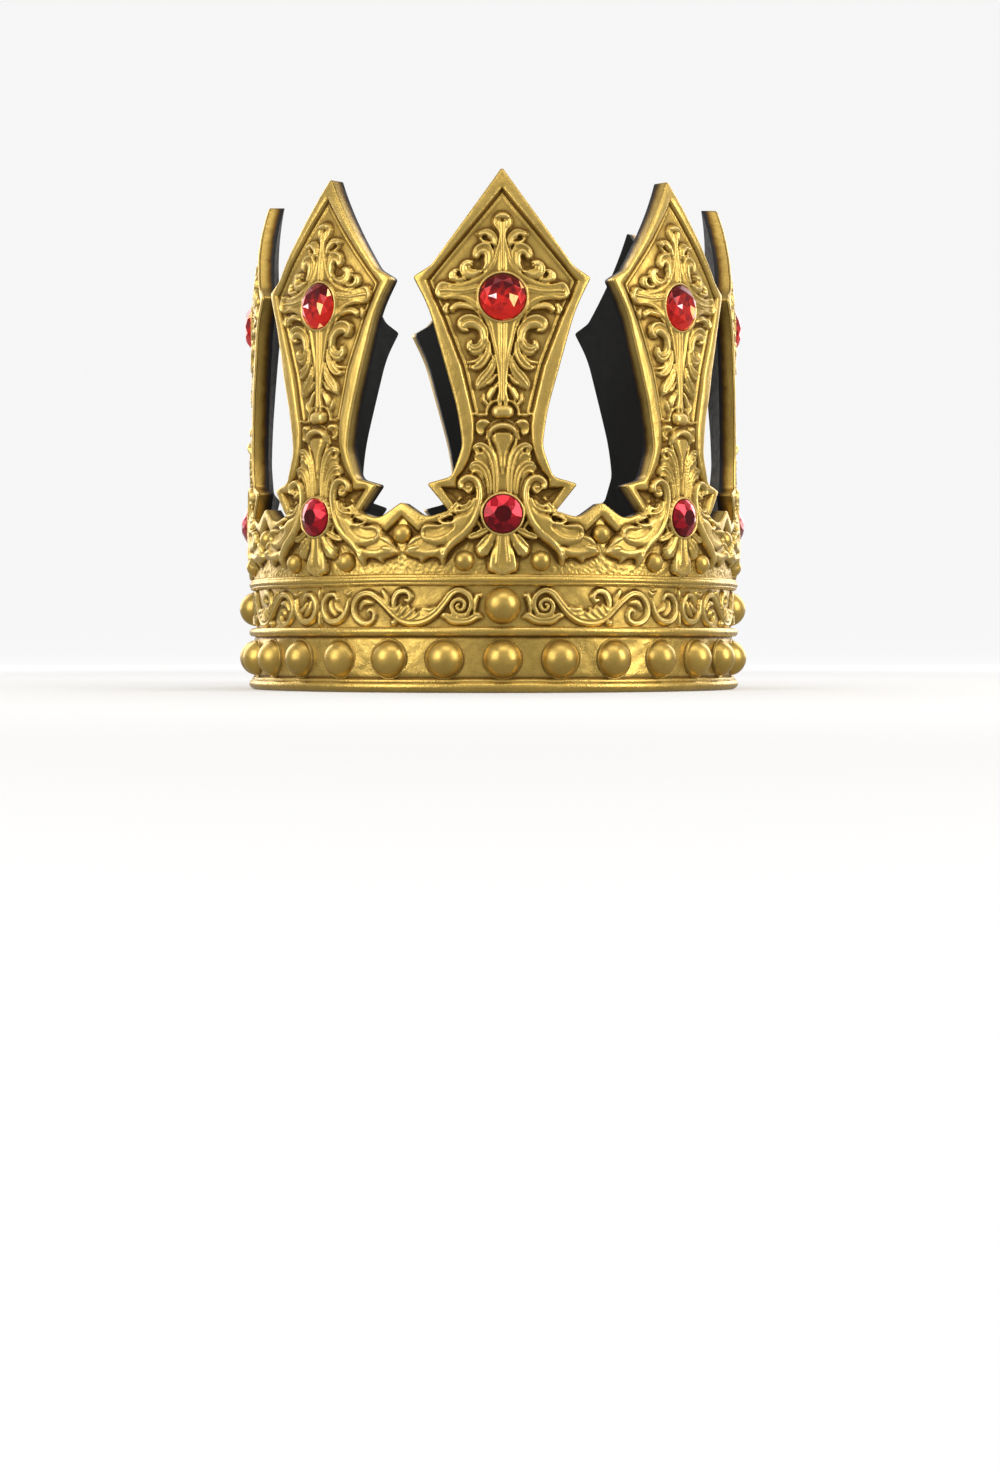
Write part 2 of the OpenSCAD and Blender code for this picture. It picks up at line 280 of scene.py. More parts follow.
# The volute, stem, leaves and hanging palmette of the collar round a lower stone
COLLAR_CARVING = [
    Plate(2.2, 0.0, 1.7, [
        (16.0, 55.6), (18.6, 52.5), (20.4, 49.9), (21.4, 47.5), (22.0, 46.7), (22.7, 47.7), (23.5, 49.0),
        (24.8, 49.6), (27.2, 49.3), (29.0, 48.4), (30.1, 47.8), (30.8, 49.0), (32.6, 49.6), (34.8, 50.3),
        (37.0, 51.3), (36.8, 52.7), (35.6, 54.3), (33.8, 55.2), (32.6, 56.6), (31.4, 58.8), (29.4, 60.6),
        (25, 58), (20, 57)]),
    Stroke(2.9, 1, 0, [
        (20.0, 53.6, 1.6), (23.6, 52.0, 2.1), (28.0, 51.6, 2.0), (32.0, 52.4, 2.0), (36.2, 51.8, 0.6)]),
    Stroke(2.8, 1, 0, [(29.4, 57.6, 1.2), (32.0, 56.6, 1.5), (34.6, 54.2, 0.7)]),
    Plate(3.1, 0.0, 2.6, [
        (8.9, 71), (8.9, 66.8), (9.9, 63.6), (11.5, 60.3), (13.5, 57.5), (16, 55.1), (18.2, 53.6),
        (20.6, 53.3), (23.2, 53.3), (25.8, 53.8), (27.8, 54.6), (29.2, 56.0), (30.0, 58.0), (29.7, 60.2),
        (28.4, 61.6), (26.2, 61.9), (23.8, 61.6), (21.4, 62.9), (18.8, 64.6), (16.2, 66.0), (13.4, 66.8),
        (11.6, 68.6), (10.6, 71.6)]),
    Stroke(1.7, 1, 0, [(11.9, 75.9, 3.1), (12.6, 76.3, 3.1)]),
    Stroke(3.0, 1, 0, [(12.5, 75.5, 1.1), (12.7, 75.6, 1.1)]),
    Stroke(3.3, 1, 0.3, [
        (11.4, 75.2, 0.6), (11.9, 73.9, 0.8), (13.5, 73.5, 1.0), (15.0, 74.9, 1.15), (15.2, 77.2, 1.3),
        (12.8, 79.0, 1.45), (10.0, 78.2, 1.5), (8.5, 75.2, 1.55), (8.3, 71.4, 1.7), (9.3, 66.9, 1.9),
        (11.1, 62.7, 2.2), (14.2, 58.9, 2.4), (18.0, 55.7, 2.2), (20.6, 52.4, 1.6), (21.7, 48.6, 0.7)]),
    Stroke(2.7, 1, 0, [(10.4, 71.2, 0.7), (11.4, 68.4, 1.0), (13.8, 66.9, 1.1), (16.9, 66.6, 0.8)]),
    Stroke(2.3, 1, 0, [(11.9, 70.6, 0.6), (12.9, 69.0, 0.9), (14.7, 68.4, 0.9), (16.2, 69.0, 0.7)]),
    Stroke(2.4, 1, 0, [(15.6, 69.0, 0.7), (17.3, 67.2, 0.8)]),
    Stroke(2.4, 1, 0, [(16.9, 69.6, 0.7), (18.3, 67.8, 0.8)]),
    Stroke(2.7, 1, 0, [(16.7, 66.0, 0.7), (18.4, 66.6, 0.8), (19.9, 65.6, 0.6)]),
    Stroke(3.0, 1, 0, [(18.6, 65.2, 0.7), (20.6, 64.9, 0.9), (23.0, 63.4, 0.5)]),
    Stroke(3.4, 1, 0, [(17.4, 63.9, 0.5), (18.7, 62.5, 0.7), (20.9, 62.2, 0.75), (23.2, 62.9, 0.5)]),
    Stroke(-0.9, 1, 0, [(18.4, 60.9, 1.0), (21.4, 59.6, 1.9), (24.8, 58.9, 2.2), (27.6, 58.7, 1.6)]),
    Stroke(3.6, 1, 0, [
        (20.4, 62.0, 0.5), (22.8, 61.0, 0.8), (25.0, 61.0, 1.0), (27.2, 61.2, 1.1), (28.9, 60.2, 1.1),
        (29.1, 58.3, 1.1), (28.1, 56.4, 0.9), (27.0, 55.3, 0.6)]),
    Stroke(3.0, 1, 0, [(18.0, 59.9, 0.4), (21.2, 58.6, 0.6), (25.0, 57.8, 0.5)]),
    Stroke(-0.7, 1, 0, [(20.8, 53.9, 0.3), (22.2, 54.0, 0.5), (23.8, 53.2, 0.3)]),
    Stroke(3.1, 1, 0, [(20.6, 53.0, 1.0), (21.7, 51.9, 1.2), (22.2, 49.4, 0.7)]),
    Stroke(3.2, 1, 0, [(30.8, 53.4, 0.9), (32.6, 53.2, 1.5), (34.4, 52.8, 0.9)]),
    Plate(2.3, 0.0, 1.5, [
        (-1, 59.5), (2.6, 59.5), (3.2, 55.0), (4.1, 51.4), (5.1, 48.6), (5.5, 46.6), (5.1, 45.0),
        (3.6, 44.1), (-1, 44.0)]),
    Stroke(2.7, 1, 0, [(1.3, 60.0, 1.0), (1.5, 54.0, 1.2), (2.0, 49.0, 1.3), (2.3, 46.8, 0.8)]),
    Stroke(2.5, 1, 0, [(3.2, 53.4, 0.5), (4.0, 49.6, 0.8), (4.4, 46.8, 0.8)]),
    Stroke(2.8, 1, 0, [(-2.4, 45.9, 0.6), (-1.2, 45.8, 0.8), (0.4, 46.5, 0.7), (1.4, 46.9, 0.3)]),
    Stroke(2.5, 1, 0.0, [(2.8, 58.8, 1.6), (5.0, 55.4, 2.4), (6.9, 52.8, 2.7), (7.4, 52.2, 2.6)]),
    Stroke(3.4, 1, 0, [(3.6, 57.0, 0.6), (6.0, 54.1, 0.8), (8.4, 51.3, 0.6)]),
    Stroke(3.3, 1, 0, [(5.4, 57.8, 0.6), (7.2, 55.9, 0.8), (9.2, 53.6, 0.6)]),
    Stroke(3.1, 1, 0, [(3.9, 54.2, 0.6), (5.8, 50.9, 0.6)]),
    Stroke(2.6, 2, 0.35, [(5.4, 59.8, 1.2), (8.4, 58.5, 2.0), (10.8, 57.5, 1.5), (12.8, 56.9, 0.4)]),
    Stroke(2.0, 1, 0, [(9.0, 64.0, 0.6), (8.6, 62.0, 0.9), (7.6, 60.4, 0.7)]),
    Pit(18.9, 63.9, 0.95, 2.2),
    Pit(9.8, 59.9, 1.0, 1.2),
    Pit(12.7, 76.1, 0.45, 0.6),
]
# The dark window beside the volute, with one fine rib inside it
WINDOW = [(22.2, 75.3), (14.6, 75.0), (11.6, 72.6), (13.2, 70.6), (15.6, 69.9), (17.5, 70.0)]
WINDOW_DEPTH = 1.05
WINDOW_RIB = Stroke(0.9, 1, 0, [(20.6, 74.0, 0.35), (17.2, 70.7, 0.4), (15.4, 71.6, 0.6)])

# One half of the frieze from a ball to the mirror line between two balls
FRIEZE_CARVING = [
    Stroke(1.75, 2, 0.35, [
        (12.9, 29.0, 0.8), (11.5, 32.4, 1.0), (12.5, 35.8, 1.1), (15.6, 37.7, 1.25), (18.7, 36.7, 1.4),
        (21.3, 33.5, 1.5), (24.7, 29.6, 1.6), (29.0, 26.9, 1.8), (34.0, 26.1, 1.9), (38.6, 27.2, 1.7),
        (42.5, 30.3, 1.5), (46.6, 34.0, 1.4), (51.0, 36.7, 1.3), (55.3, 36.2, 1.3), (58.2, 33.0, 1.2),
        (58.4, 29.2, 1.15), (56.2, 26.5, 1.1), (53.0, 25.5, 1.05), (50.1, 26.6, 0.95), (49.3, 29.0, 0.85),
        (50.9, 30.7, 0.75), (52.5, 29.6, 0.7), (52.0, 28.6, 0.5)]),
    Stroke(1.8, 2, 0.35, [
        (7.4, 27.9, 0.5), (9.6, 28.2, 1.5), (12.2, 26.8, 1.5), (15, 26.4, 1.4), (18.4, 26.8, 1.6),
        (21.0, 28.4, 1.3), (22.6, 28.4, 0.5)]),
    Stroke(1.5, 1, 0, [(12.6, 28.6, 0.5), (15.6, 27.9, 0.8), (18.8, 28.8, 0.6)]),
    Stroke(1.5, 1, 0.2, [
        (7.8, 35.4, 0.5), (8.9, 36.0, 0.9), (9.7, 34.2, 1.1), (10.1, 31.6, 0.9), (10.4, 29.4, 0.5)]),
    Plate(1.1, 0.0, 1.0, [
        (22.6, 33.0), (24.8, 31.2), (27.0, 30.8), (29.0, 31.9), (30.4, 31.4), (30.9, 29.9), (33.0, 30.2),
        (35.0, 31.6), (37.2, 32.4), (39.2, 31.8), (41.4, 31.0), (40.6, 28.4), (38.0, 26.2), (33.0, 25.2),
        (28.0, 26.6), (24.4, 29.8)]),
    Stroke(1.5, 1, 0, [(24.8, 31.4, 0.6), (26.9, 30.4, 1.2), (28.8, 31.0, 0.7)]),
    Stroke(1.5, 1, 0, [(26.0, 28.8, 0.5), (28.4, 28.6, 1.1), (30.4, 29.4, 0.5)]),
    Stroke(1.6, 1, 0, [(35.4, 26.8, 0.8), (32.6, 28.0, 1.2), (31.0, 29.8, 0.6)]),
    Stroke(1.7, 1, 0, [(37.2, 27.4, 0.8), (35.0, 29.0, 1.2), (33.4, 30.8, 0.6)]),
    Stroke(1.8, 1, 0, [(39.0, 28.2, 0.8), (37.4, 30.0, 1.2), (35.8, 32.0, 0.6)]),
    Stroke(1.7, 1, 0, [(40.4, 29.2, 0.7), (39.6, 30.8, 1.0), (38.6, 32.4, 0.5)]),
    Stroke(1.9, 2, 0.25, [
        (40.9, 30.6, 0.9), (41.0, 34.2, 1.2), (39.3, 37.0, 1.2), (36.2, 37.4, 1.1), (34.5, 35.7, 1.0),
        (35.2, 33.9, 0.8), (36.8, 34.3, 0.6)]),
    Stroke(1.4, 2, 0.3, [(42.9, 32.2, 0.4), (43.9, 34.8, 1.3), (45.8, 37.6, 0.8)]),
    Stroke(1.6, 1, 0, [(41.0, 25.8, 1.2), (41.5, 25.8, 1.2)]),
    Stroke(1.4, 2, 0.3, [(50.2, 33.2, 0.7), (53.6, 33.4, 1.3), (55.6, 31.0, 0.7)]),
    Stroke(1.9, 2, 0.25, [
        (60.8, 34.4, 0.6), (62.0, 30.0, 1.1), (65.4, 26.8, 1.3), (70.0, 26.6, 1.3), (73.0, 29.4, 1.2),
        (73.2, 33.2, 1.1), (70.8, 36.2, 1.0), (67.6, 36.4, 0.9), (66.4, 34.6, 0.7)]),
    Stroke(1.4, 2, 0.3, [(63.9, 30.2, 0.8), (66.3, 31.3, 1.1), (67.6, 33.2, 0.5)]),
    Stroke(1.4, 2, 0.3, [(67.2, 28.8, 0.8), (69.4, 31.0, 1.2), (70.2, 33.8, 0.5)]),
    Stroke(1.3, 1, 0, [(MIRROR, 25.6, 1.0), (MIRROR, 28.4, 1.2), (MIRROR, 30.4, 0.4)]),
    Stroke(1.3, 1, 0, [(MIRROR, 34.0, 0.4), (MIRROR, 36.6, 1.0), (MIRROR, 38.4, 0.5)]),
    Stroke(1.2, 1, 0, [(63.2, 37.4, 0.4), (61.0, 36.6, 0.8), (59.6, 37.6, 0.4)]),
]
FRIEZE_LOW, FRIEZE_HIGH = 23.6, 39.7
FRIEZE_GROUND = -0.75
FRIEZE_BACK = -2.2
# The inner coil of the frieze's first scroll: centre, first and last radius, turns, first angle in degrees
COIL = ((15.9, 31.9), 3.9, 0.7, 1.55, 235.0)
COIL_RISE = 1.8

# Beads turned round the ring: height, how far the centre stands out, radius
RIM_BEADS = [(2.2, 0.2, 1.9), (4.3, 0.2, 0.75), (22.6, 0.4, 1.7)]
UPPER_BEADS = [(40.2, 1.0, 0.62), (41.55, 0.95, 1.15), (42.85, 1.0, 0.6)]
RIM_TOP = 24.2
# Heights between which the ground behind the studs fades in and out again
STUD_FIELD = (5.6, 7.4, 18.6, 20.4)
RIM_SHELF = -1.8
FASCIA = (39.3, 43.7)
FASCIA_OUT = 0.9

# Balls of the crown: along the wall, up, radius, how deep the centre lies, width of the collar bead
SIDE_BALL = Ball(14.1, 48.5, 3.95, 0.4, 0)
MERLON_BALL = Ball(SEAM, 58.5, 3.8, 0.5, 0)
STUD = Ball(0.0, STUD_Z, 7.1, 1.1, 0.36)
FRIEZE_BALL = Ball(0.0, FRIEZE_BALL_Z, 6.9, 0.8, 0)


class CrownSizes(bpy.types.PropertyGroup):
    """Sizes of the carving and of the mesh that carries it"""

    mesh_step: bpy.props.FloatProperty(
        name="Mesh Step", description="Distance between the points of a spire's carved face",
        default=0.00044, min=0.0003, max=0.002, precision=5, unit="LENGTH")
    frieze_step: bpy.props.FloatProperty(
        name="Frieze Step", description="Distance between the points of the frieze",
        default=0.0004, min=0.0003, max=0.002, precision=5, unit="LENGTH")
    edge_round: bpy.props.FloatProperty(
        name="Edge Round", description="Radius that the moulding gives to the outer edges",
        default=0.0009, min=0.0003, max=0.0015, precision=5, unit="LENGTH")
    wobble: bpy.props.FloatProperty(
        name="Wobble", description="How far the moulded faces wander from a true cylinder",
        default=0.00012, min=0.0, max=0.0005, precision=5, unit="LENGTH")
    crinkle_depth: bpy.props.FloatProperty(
        name="Crinkle Depth", description="Depth of the crumpled ground between the leaves",
        default=0.00015, min=0.0, max=0.0006, precision=5, unit="LENGTH")
    dent_depth: bpy.props.FloatProperty(
        name="Dent Depth", description="Depth of the broad dents between the studs",
        default=0.00036, min=0.0, max=0.0006, precision=5, unit="LENGTH")
    ring_steps: bpy.props.IntProperty(
        name="Ring Steps", description="Number of steps round the turned beads",
        default=480, min=96, max=960)
    dome_rings: bpy.props.IntProperty(
        name="Dome Rings", description="Number of rings on the largest balls", default=14, min=6, max=24)
    stone_cuts: bpy.props.IntProperty(
        name="Stone Cuts", description="Number of kite facets round an upper stone",
        default=8, min=6, max=16)


class CrownColours(bpy.types.PropertyGroup):
    """Colours of the paint and the stones"""

    gold: bpy.props.FloatVectorProperty(
        name="Gold", description="Gold paint on the faces", subtype="COLOR", size=4, min=0, max=1,
        default=(0.53, 0.355, 0.086, 1))
    # Lighter gold of the raised edges: partly rubbed paint, partly a painted highlight
    worn_and_highlight: bpy.props.FloatVectorProperty(
        name="Worn Gold", description="Lighter gold on rubbed edges", subtype="COLOR", size=4, min=0, max=1,
        default=(0.78, 0.58, 0.20, 1))
    # Brown of the wash in the hollows, which also stands for painted shade there, and of the walls' edges
    wash_and_shade: bpy.props.FloatVectorProperty(
        name="Brown Wash", description="Dark wash in the hollows", subtype="COLOR", size=4, min=0, max=1,
        default=(0.10, 0.043, 0.005, 1))
    inside: bpy.props.FloatVectorProperty(
        name="Inside", description="Bare moulding inside the ring", subtype="COLOR", size=4, min=0, max=1,
        default=(0.007, 0.0065, 0.006, 1))
    red: bpy.props.FloatVectorProperty(
        name="Red", description="Body colour of the stones", subtype="COLOR", size=4, min=0, max=1,
        default=(0.66, 0.018, 0.010, 1))
    # Painted shade of the stones' facets
    deep_red: bpy.props.FloatVectorProperty(
        name="Deep Red", description="Stones where no light comes back",
        subtype="COLOR", size=4, min=0, max=1, default=(0.085, 0.0012, 0.003, 1))
    crimson: bpy.props.FloatVectorProperty(
        name="Crimson", description="Body colour of the lower stones",
        subtype="COLOR", size=4, min=0, max=1, default=(0.46, 0.006, 0.017, 1))
    # Painted reflection of the foil behind the stones
    glint: bpy.props.FloatVectorProperty(
        name="Glint", description="Warm foil flashes behind the stones",
        subtype="COLOR", size=4, min=0, max=1, default=(1.0, 0.50, 0.20, 1))
    # Painted highlight of one facet
    spark: bpy.props.FloatVectorProperty(
        name="Spark", description="Pale flash of one facet", subtype="COLOR", size=4, min=0, max=1,
        default=(1.0, 0.78, 0.80, 1))


class CrownStage(bpy.types.PropertyGroup):
    """Camera, lamps and floor"""

    distance: bpy.props.FloatProperty(
        name="Distance", description="Camera's distance from the crown's axis",
        default=1.034, unit="LENGTH")
    height: bpy.props.FloatProperty(
        name="Height", description="Camera's height above the floor", default=0.018, unit="LENGTH")
    azimuth: bpy.props.FloatProperty(
        name="Azimuth", description="Camera's turn round the crown from its front",
        default=math.radians(-2.0), subtype="ANGLE")
    key_power: bpy.props.FloatProperty(
        name="Key Power", description="Power of the large softbox on the right",
        default=8.8, subtype="POWER")
    fill_power: bpy.props.FloatProperty(
        name="Fill Power", description="Power of the softbox on the left", default=10.2, subtype="POWER")
    top_power: bpy.props.FloatProperty(
        name="Top Power", description="Power of the softbox overhead", default=5.0, subtype="POWER")
    rim_power: bpy.props.FloatProperty(
        name="Rim Power", description="Power of each softbox behind", default=8.0, subtype="POWER")
    backdrop: bpy.props.FloatVectorProperty(
        name="Backdrop", description="Colour of the floor and backdrop",
        subtype="COLOR", size=4, min=0, max=1, default=(0.56, 0.56, 0.56, 1))


# Curves and distances on the unrolled wall, in millimetres

def smooth_route(rows, step=0.5):
    """A smooth curve through the rows of a route, every column interpolated."""
    rows = np.array(rows, float)
    ends = np.vstack([2 * rows[0] - rows[1], rows, 2 * rows[-1] - rows[-2]])
    curve = []
    for a, b, c, d in zip(ends, ends[1:], ends[2:], ends[3:]):
        count = max(2, math.ceil(math.hypot(*(c - b)[:2]) / step))
        t = np.linspace(0, 1, count, endpoint=False)[:, None]
        curve.append(b + 0.5 * t * (c - a + t * (2 * a - 5 * b + 4 * c - d + t * (3 * b - a - 3 * c + d))))
    return np.vstack(curve + [rows[-1:]])


def coil_route(centre, first_radius, last_radius, turns, first_angle, half=(1.0, 0.55)):
    """A spiral that winds in towards its centre, with its half width from first to last."""
    t = np.linspace(0, 1, math.ceil(turns * 24))
    angle = math.radians(first_angle) + t * turns * 2 * math.pi
    radius = first_radius + (last_radius - first_radius) * t ** 0.8
    return np.column_stack([
        centre[0] + radius * np.cos(angle), centre[1] + radius * np.sin(angle),
        half[0] + (half[1] - half[0]) * t])


def rounded_corners(rows, samples=7):
    """An open line whose inner corners are rounded by the third column."""
    rows = np.array(rows, float)
    line = [rows[0, :2]]
    for before, corner, after in zip(rows, rows[1:], rows[2:]):
        back, on = before[:2] - corner[:2], after[:2] - corner[:2]
        start = corner[:2] + back / np.hypot(*back) * corner[2]
        end = corner[:2] + on / np.hypot(*on) * corner[2]
        for t in np.linspace(0, 1, samples):
            line.append((1 - t) ** 2 * start + 2 * t * (1 - t) * corner[:2] + t ** 2 * end)
    return np.array(line + [rows[-1, :2]])


def even_steps(line, step):
    """The same line with points at even distances."""
    lengths = np.concatenate([[0], np.cumsum(np.hypot(*np.diff(line, axis=0).T))])
    places = np.linspace(0, lengths[-1], max(2, round(lengths[-1] / step) + 1))
    return np.column_stack([np.interp(places, lengths, line[:, 0]), np.interp(places, lengths, line[:, 1])])


def line_distance(points, line):
    """Distance of each point to an open line."""
    best = np.full(len(points), np.inf)
    for a, b in zip(line, line[1:]):
        along = b - a
        share = np.clip((points - a) @ along / max(along @ along, 1e-12), 0, 1)
        off = points - a - share[:, None] * along
        best = np.minimum(best, np.hypot(off[:, 0], off[:, 1]))
    return best


def inside_outline(points, outline):
    """True for the points inside a closed outline."""
    inside = np.zeros(len(points), bool)
    for (x1, y1), (x2, y2) in zip(outline, np.roll(outline, -1, axis=0)):
        if y1 != y2:
            crosses = (y1 > points[:, 1]) != (y2 > points[:, 1])
            inside ^= crosses & (points[:, 0] < x1 + (points[:, 1] - y1) * (x2 - x1) / (y2 - y1))
    return inside


def signed_distance(points, outline):
    """Distance to a closed outline, positive inside it."""
    outline = np.asarray(outline, float)
    distance = line_distance(points, np.vstack([outline, outline[:1]]))
    return np.where(inside_outline(points, outline), distance, -distance)


def smooth_step(value, low, high):
    """0 below low, 1 above high and an easy curve between."""
    t = np.clip((value - low) / (high - low), 0, 1)
    return t * t * (3 - 2 * t)


def lean(up):
    """How far the wall leans inwards at this height."""
    return TIP_LEAN * (np.clip(up - LEAN_START, 0, None) / (TIP_Z - LEAN_START)) ** 2


# Carving

def stroke_height(points, stroke, slim=1.0):
    """Height of a carved stroke: round, lower where slim, cut into ridges or with a lip on its left."""
    route = smooth_route(stroke.route) if len(stroke.route) < 24 else np.asarray(stroke.route)
    route[:, HALF] = np.maximum(route[:, HALF], 0.12)
    height = np.zeros(len(points))
    reach = route[:, HALF].max()
    low, high = route[:, :2].min(0) - reach, route[:, :2].max(0) + reach
    near = np.flatnonzero(np.all((points > low) & (points < high), axis=1))
    if not len(near):
        return height
    start, along = route[:-1], np.diff(route, axis=0)
    flat = along[:, :2]
    offset = points[near, None, :] - start[None, :, :2]
    share = np.clip((offset * flat).sum(2) / np.maximum((flat ** 2).sum(1), 1e-9), 0, 1)
    offset = offset - share[..., None] * flat
    half = start[:, HALF] + share * along[:, HALF]
    place = np.hypot(offset[..., 0], offset[..., 1]) / half
    best = place.argmin(1)
    rows = np.arange(len(near))
    place, half = place[rows, best], half[rows, best]
    side = np.sign(flat[best, 0] * offset[rows, best, 1] - flat[best, 1] * offset[rows, best, 0])
    round_top = np.sqrt(np.clip(1 - place ** 2, 0, 1))
    if stroke.ridges == 1:
        ridges = 1 - stroke.cut * np.exp(-((side * place - 0.42) / 0.2) ** 2)
    else:
        ridges = 1 - stroke.cut * (0.5 + 0.5 * np.cos(math.pi * stroke.ridges * (side * place + 1)))
    height[near] = stroke.rise * np.minimum(1, half / slim) ** 0.6 * round_top * ridges
    return height


def plate_height(points, plate):
    """Height of a flat-topped plate with a round edge and a rim along it."""
    outline = smooth_route(plate.outline + plate.outline[:1])
    height = np.zeros(len(points))
    near = np.flatnonzero(np.all((points > outline.min(0)) & (points < outline.max(0)), axis=1))
    if len(near):
        distance = signed_distance(points[near], outline)
        lift = np.sqrt(np.clip(1 - (1 - np.clip(distance / plate.edge, 0, 1)) ** 2, 0, 1))
        rim = np.exp(-((distance - plate.edge) / (0.6 * plate.edge)) ** 2)
        height[near] = np.where(distance > 0, plate.rise * lift + plate.rim * rim, 0)
    return height


def carved(points, carving, mirrors):
    """Height of a carving above its ground, mirrored at the given places along the wall."""
    height = np.zeros(len(points))
    sunk = np.zeros(len(points))
    images = [points] + [np.column_stack([2 * mirror - points[:, 0], points[:, 1]]) for mirror in mirrors]
    for shape in carving:
        for image in images:
            if isinstance(shape, Pit):
                off = np.hypot(image[:, 0] - shape.across, image[:, 1] - shape.up) / shape.radius
                sunk = np.maximum(sunk, shape.depth * np.exp(-off ** 4))
            elif isinstance(shape, Plate):
                height = np.maximum(height, plate_height(image, shape))
            elif shape.rise < 0:
                sunk = np.maximum(sunk, -stroke_height(image, shape))
            else:
                height = np.maximum(height, stroke_height(image, shape))
    return height - sunk


def flat_face(across, radius):
    """How far a flat face at this radius stands out of the round wall."""
    return radius / np.cos(across / WALL_R) - WALL_R


def boss_height(points, height, stone, rim=0.8, seat_drop=0.15, lip=1.0):
    """Adds the round boss of a stone to a height, with a flat seat and a rolled rim."""
    away = np.hypot(points[:, 0], points[:, 1] - stone.up)
    seat = flat_face(points[:, 0], stone.back - seat_drop) + lean(points[:, 1])
    crest = seat + lip / np.cos(points[:, 0] / WALL_R)
    middle = stone.radius + SEAT_PLAY + rim / 2
    shape = np.clip(1 - ((away - middle) / (rim * 0.62)) ** 2, 0, 1) ** 0.5
    height = np.where(away < middle + rim * 0.62, np.maximum(height, seat + (crest - seat) * shape), height)
    return np.where(away < stone.radius + SEAT_PLAY, seat, height)


def spire_outline():
    """The outline of half a spire, from the tip to the middle of the merlon beside it."""
    last = SPIRE_SIDE[-2]
    rows = [(-SPIRE_SIDE[1][0],) + SPIRE_SIDE[1][1:]] + SPIRE_SIDE + [(2 * SEAM - last[0],) + last[1:]]
    line = rounded_corners(rows)
    line = line[(line[:, 0] > -1e-6) & (line[:, 0] < SEAM + 1e-6)]
    line[0, 0], line[-1, 0] = 0.0, SEAM
    return line


def frame_distance(points):
    """Distance into the raised frame from its inner edge, negative in the field."""
    edge = np.array(FRAME_INSIDE)
    twin, next_twin = edge[4:0:-1] * (-1, 1), edge[-2:-6:-1] * (-1, 1) + (2 * SEAM, 0)
    low = np.array([(next_twin[-1, 0], 0), (twin[0, 0], 0)])
    return -signed_distance(points, np.vstack([twin, edge, next_twin, low]))


def spire_height(points, outline, edge_round):
    """Height of the carved face of half a spire with its share of the band below."""
    frame = frame_distance(points)
    in_panel = points[:, 1] > PANEL_FOOT
    ground = np.where(in_panel, PANEL_GROUND, -0.5 * smooth_step(points[:, 1], 60, 74))
    ground = ground + 0.7 * np.exp(-((frame + 1.3) / 0.42) ** 2) * in_panel
    half_width, foot, depth = MERLON_FIELD
    side_fade, foot_fade = MERLON_FADES
    merlon = smooth_step(points[:, 0], SEAM - half_width, SEAM - half_width + side_fade)
    ground = ground - depth * merlon * smooth_step(points[:, 1], foot, foot + foot_fade)
    face = FRAME_RISE - 0.45 * (1 - smooth_step(frame, 0.3, 2.4))
    height = np.where(frame > -0.4, ground + (face - ground) * smooth_step(frame, -0.4, 0.7), ground)
    carving = PANEL_CARVING + NECK_CARVING + COLLAR_CARVING
    height = np.maximum(height, ground + carved(points, carving, (0.0, SEAM)))
    window = signed_distance(points, WINDOW)
    well = -WINDOW_DEPTH + stroke_height(points, WINDOW_RIB)
    height = np.where(window > 0, height + (well - height) * smooth_step(window, 0, 0.6), height)
    for stone in (UPPER_STONE, LOWER_STONE):
        height = boss_height(points, height, stone)
    inset = np.clip(edge_round - line_distance(points, outline), 0, edge_round)
    return height - (edge_round - np.sqrt(edge_round ** 2 - inset ** 2))


def frieze_height(points):
    """Height of the scroll frieze between a ball and the mirror line."""
    coil = Stroke(COIL_RISE, 2, 0.3, coil_route(*COIL))
    return FRIEZE_GROUND + carved(points, FRIEZE_CARVING + [coil], (0.0, MIRROR))


def blurred(chart, reach):
    """The chart blurred by a bell curve of this reach in cells."""
    kernel = np.exp(-0.5 * (np.arange(-3 * reach, 3 * reach + 1) / reach) ** 2)
    kernel /= kernel.sum()
    chart = np.pad(chart, 3 * reach, mode="edge")
    for axis in (0, 1):
        chart = np.apply_along_axis(np.convolve, axis, chart, kernel, "valid")
    return chart


def hollows(height_of, low, high, step=0.4, outside=None, edge_wear_and_highlight=-0.3):
    """A function that tells how hollow each place is, from blurred charts of the heights."""
    across = np.arange(low[0], high[0] + step, step)
    up = np.arange(low[1], high[1] + step, step)
    places = np.stack(np.meshgrid(across, up), -1).reshape(-1, 2)
    chart = height_of(places).reshape(len(up), len(across))
    # How far each place lies below its blurred surroundings: the gold paints shade into what is hollow and a
    # lighter highlight onto what stands proud
    hollow = 0.8 * (blurred(chart, 2) - chart) + 0.5 * (blurred(chart, 5) - chart)
    # Along the outline the edges are painted lighter, as rubbed wear and as a highlight
    if outside is not None:
        away = outside(places).reshape(chart.shape)
        hollow = np.where(blurred(away.astype(float), 2) > 0.02, np.minimum(hollow, edge_wear_and_highlight), hollow)

    def look_up(points):
        spot = (np.abs(points) - low) / step
        cell = np.clip(np.floor(spot).astype(int), 0, [len(across) - 2, len(up) - 2])
        part = np.clip(spot - cell, 0, 1)
        corner = [hollow[cell[:, 1] + j, cell[:, 0] + i] for j in (0, 1) for i in (0, 1)]
        lower = corner[0] * (1 - part[:, 0]) + corner[1] * part[:, 0]
        upper = corner[2] * (1 - part[:, 0]) + corner[3] * part[:, 0]
        return lower * (1 - part[:, 1]) + upper * part[:, 1]

    return look_up


# Small irregularities that repeat only once round the ring

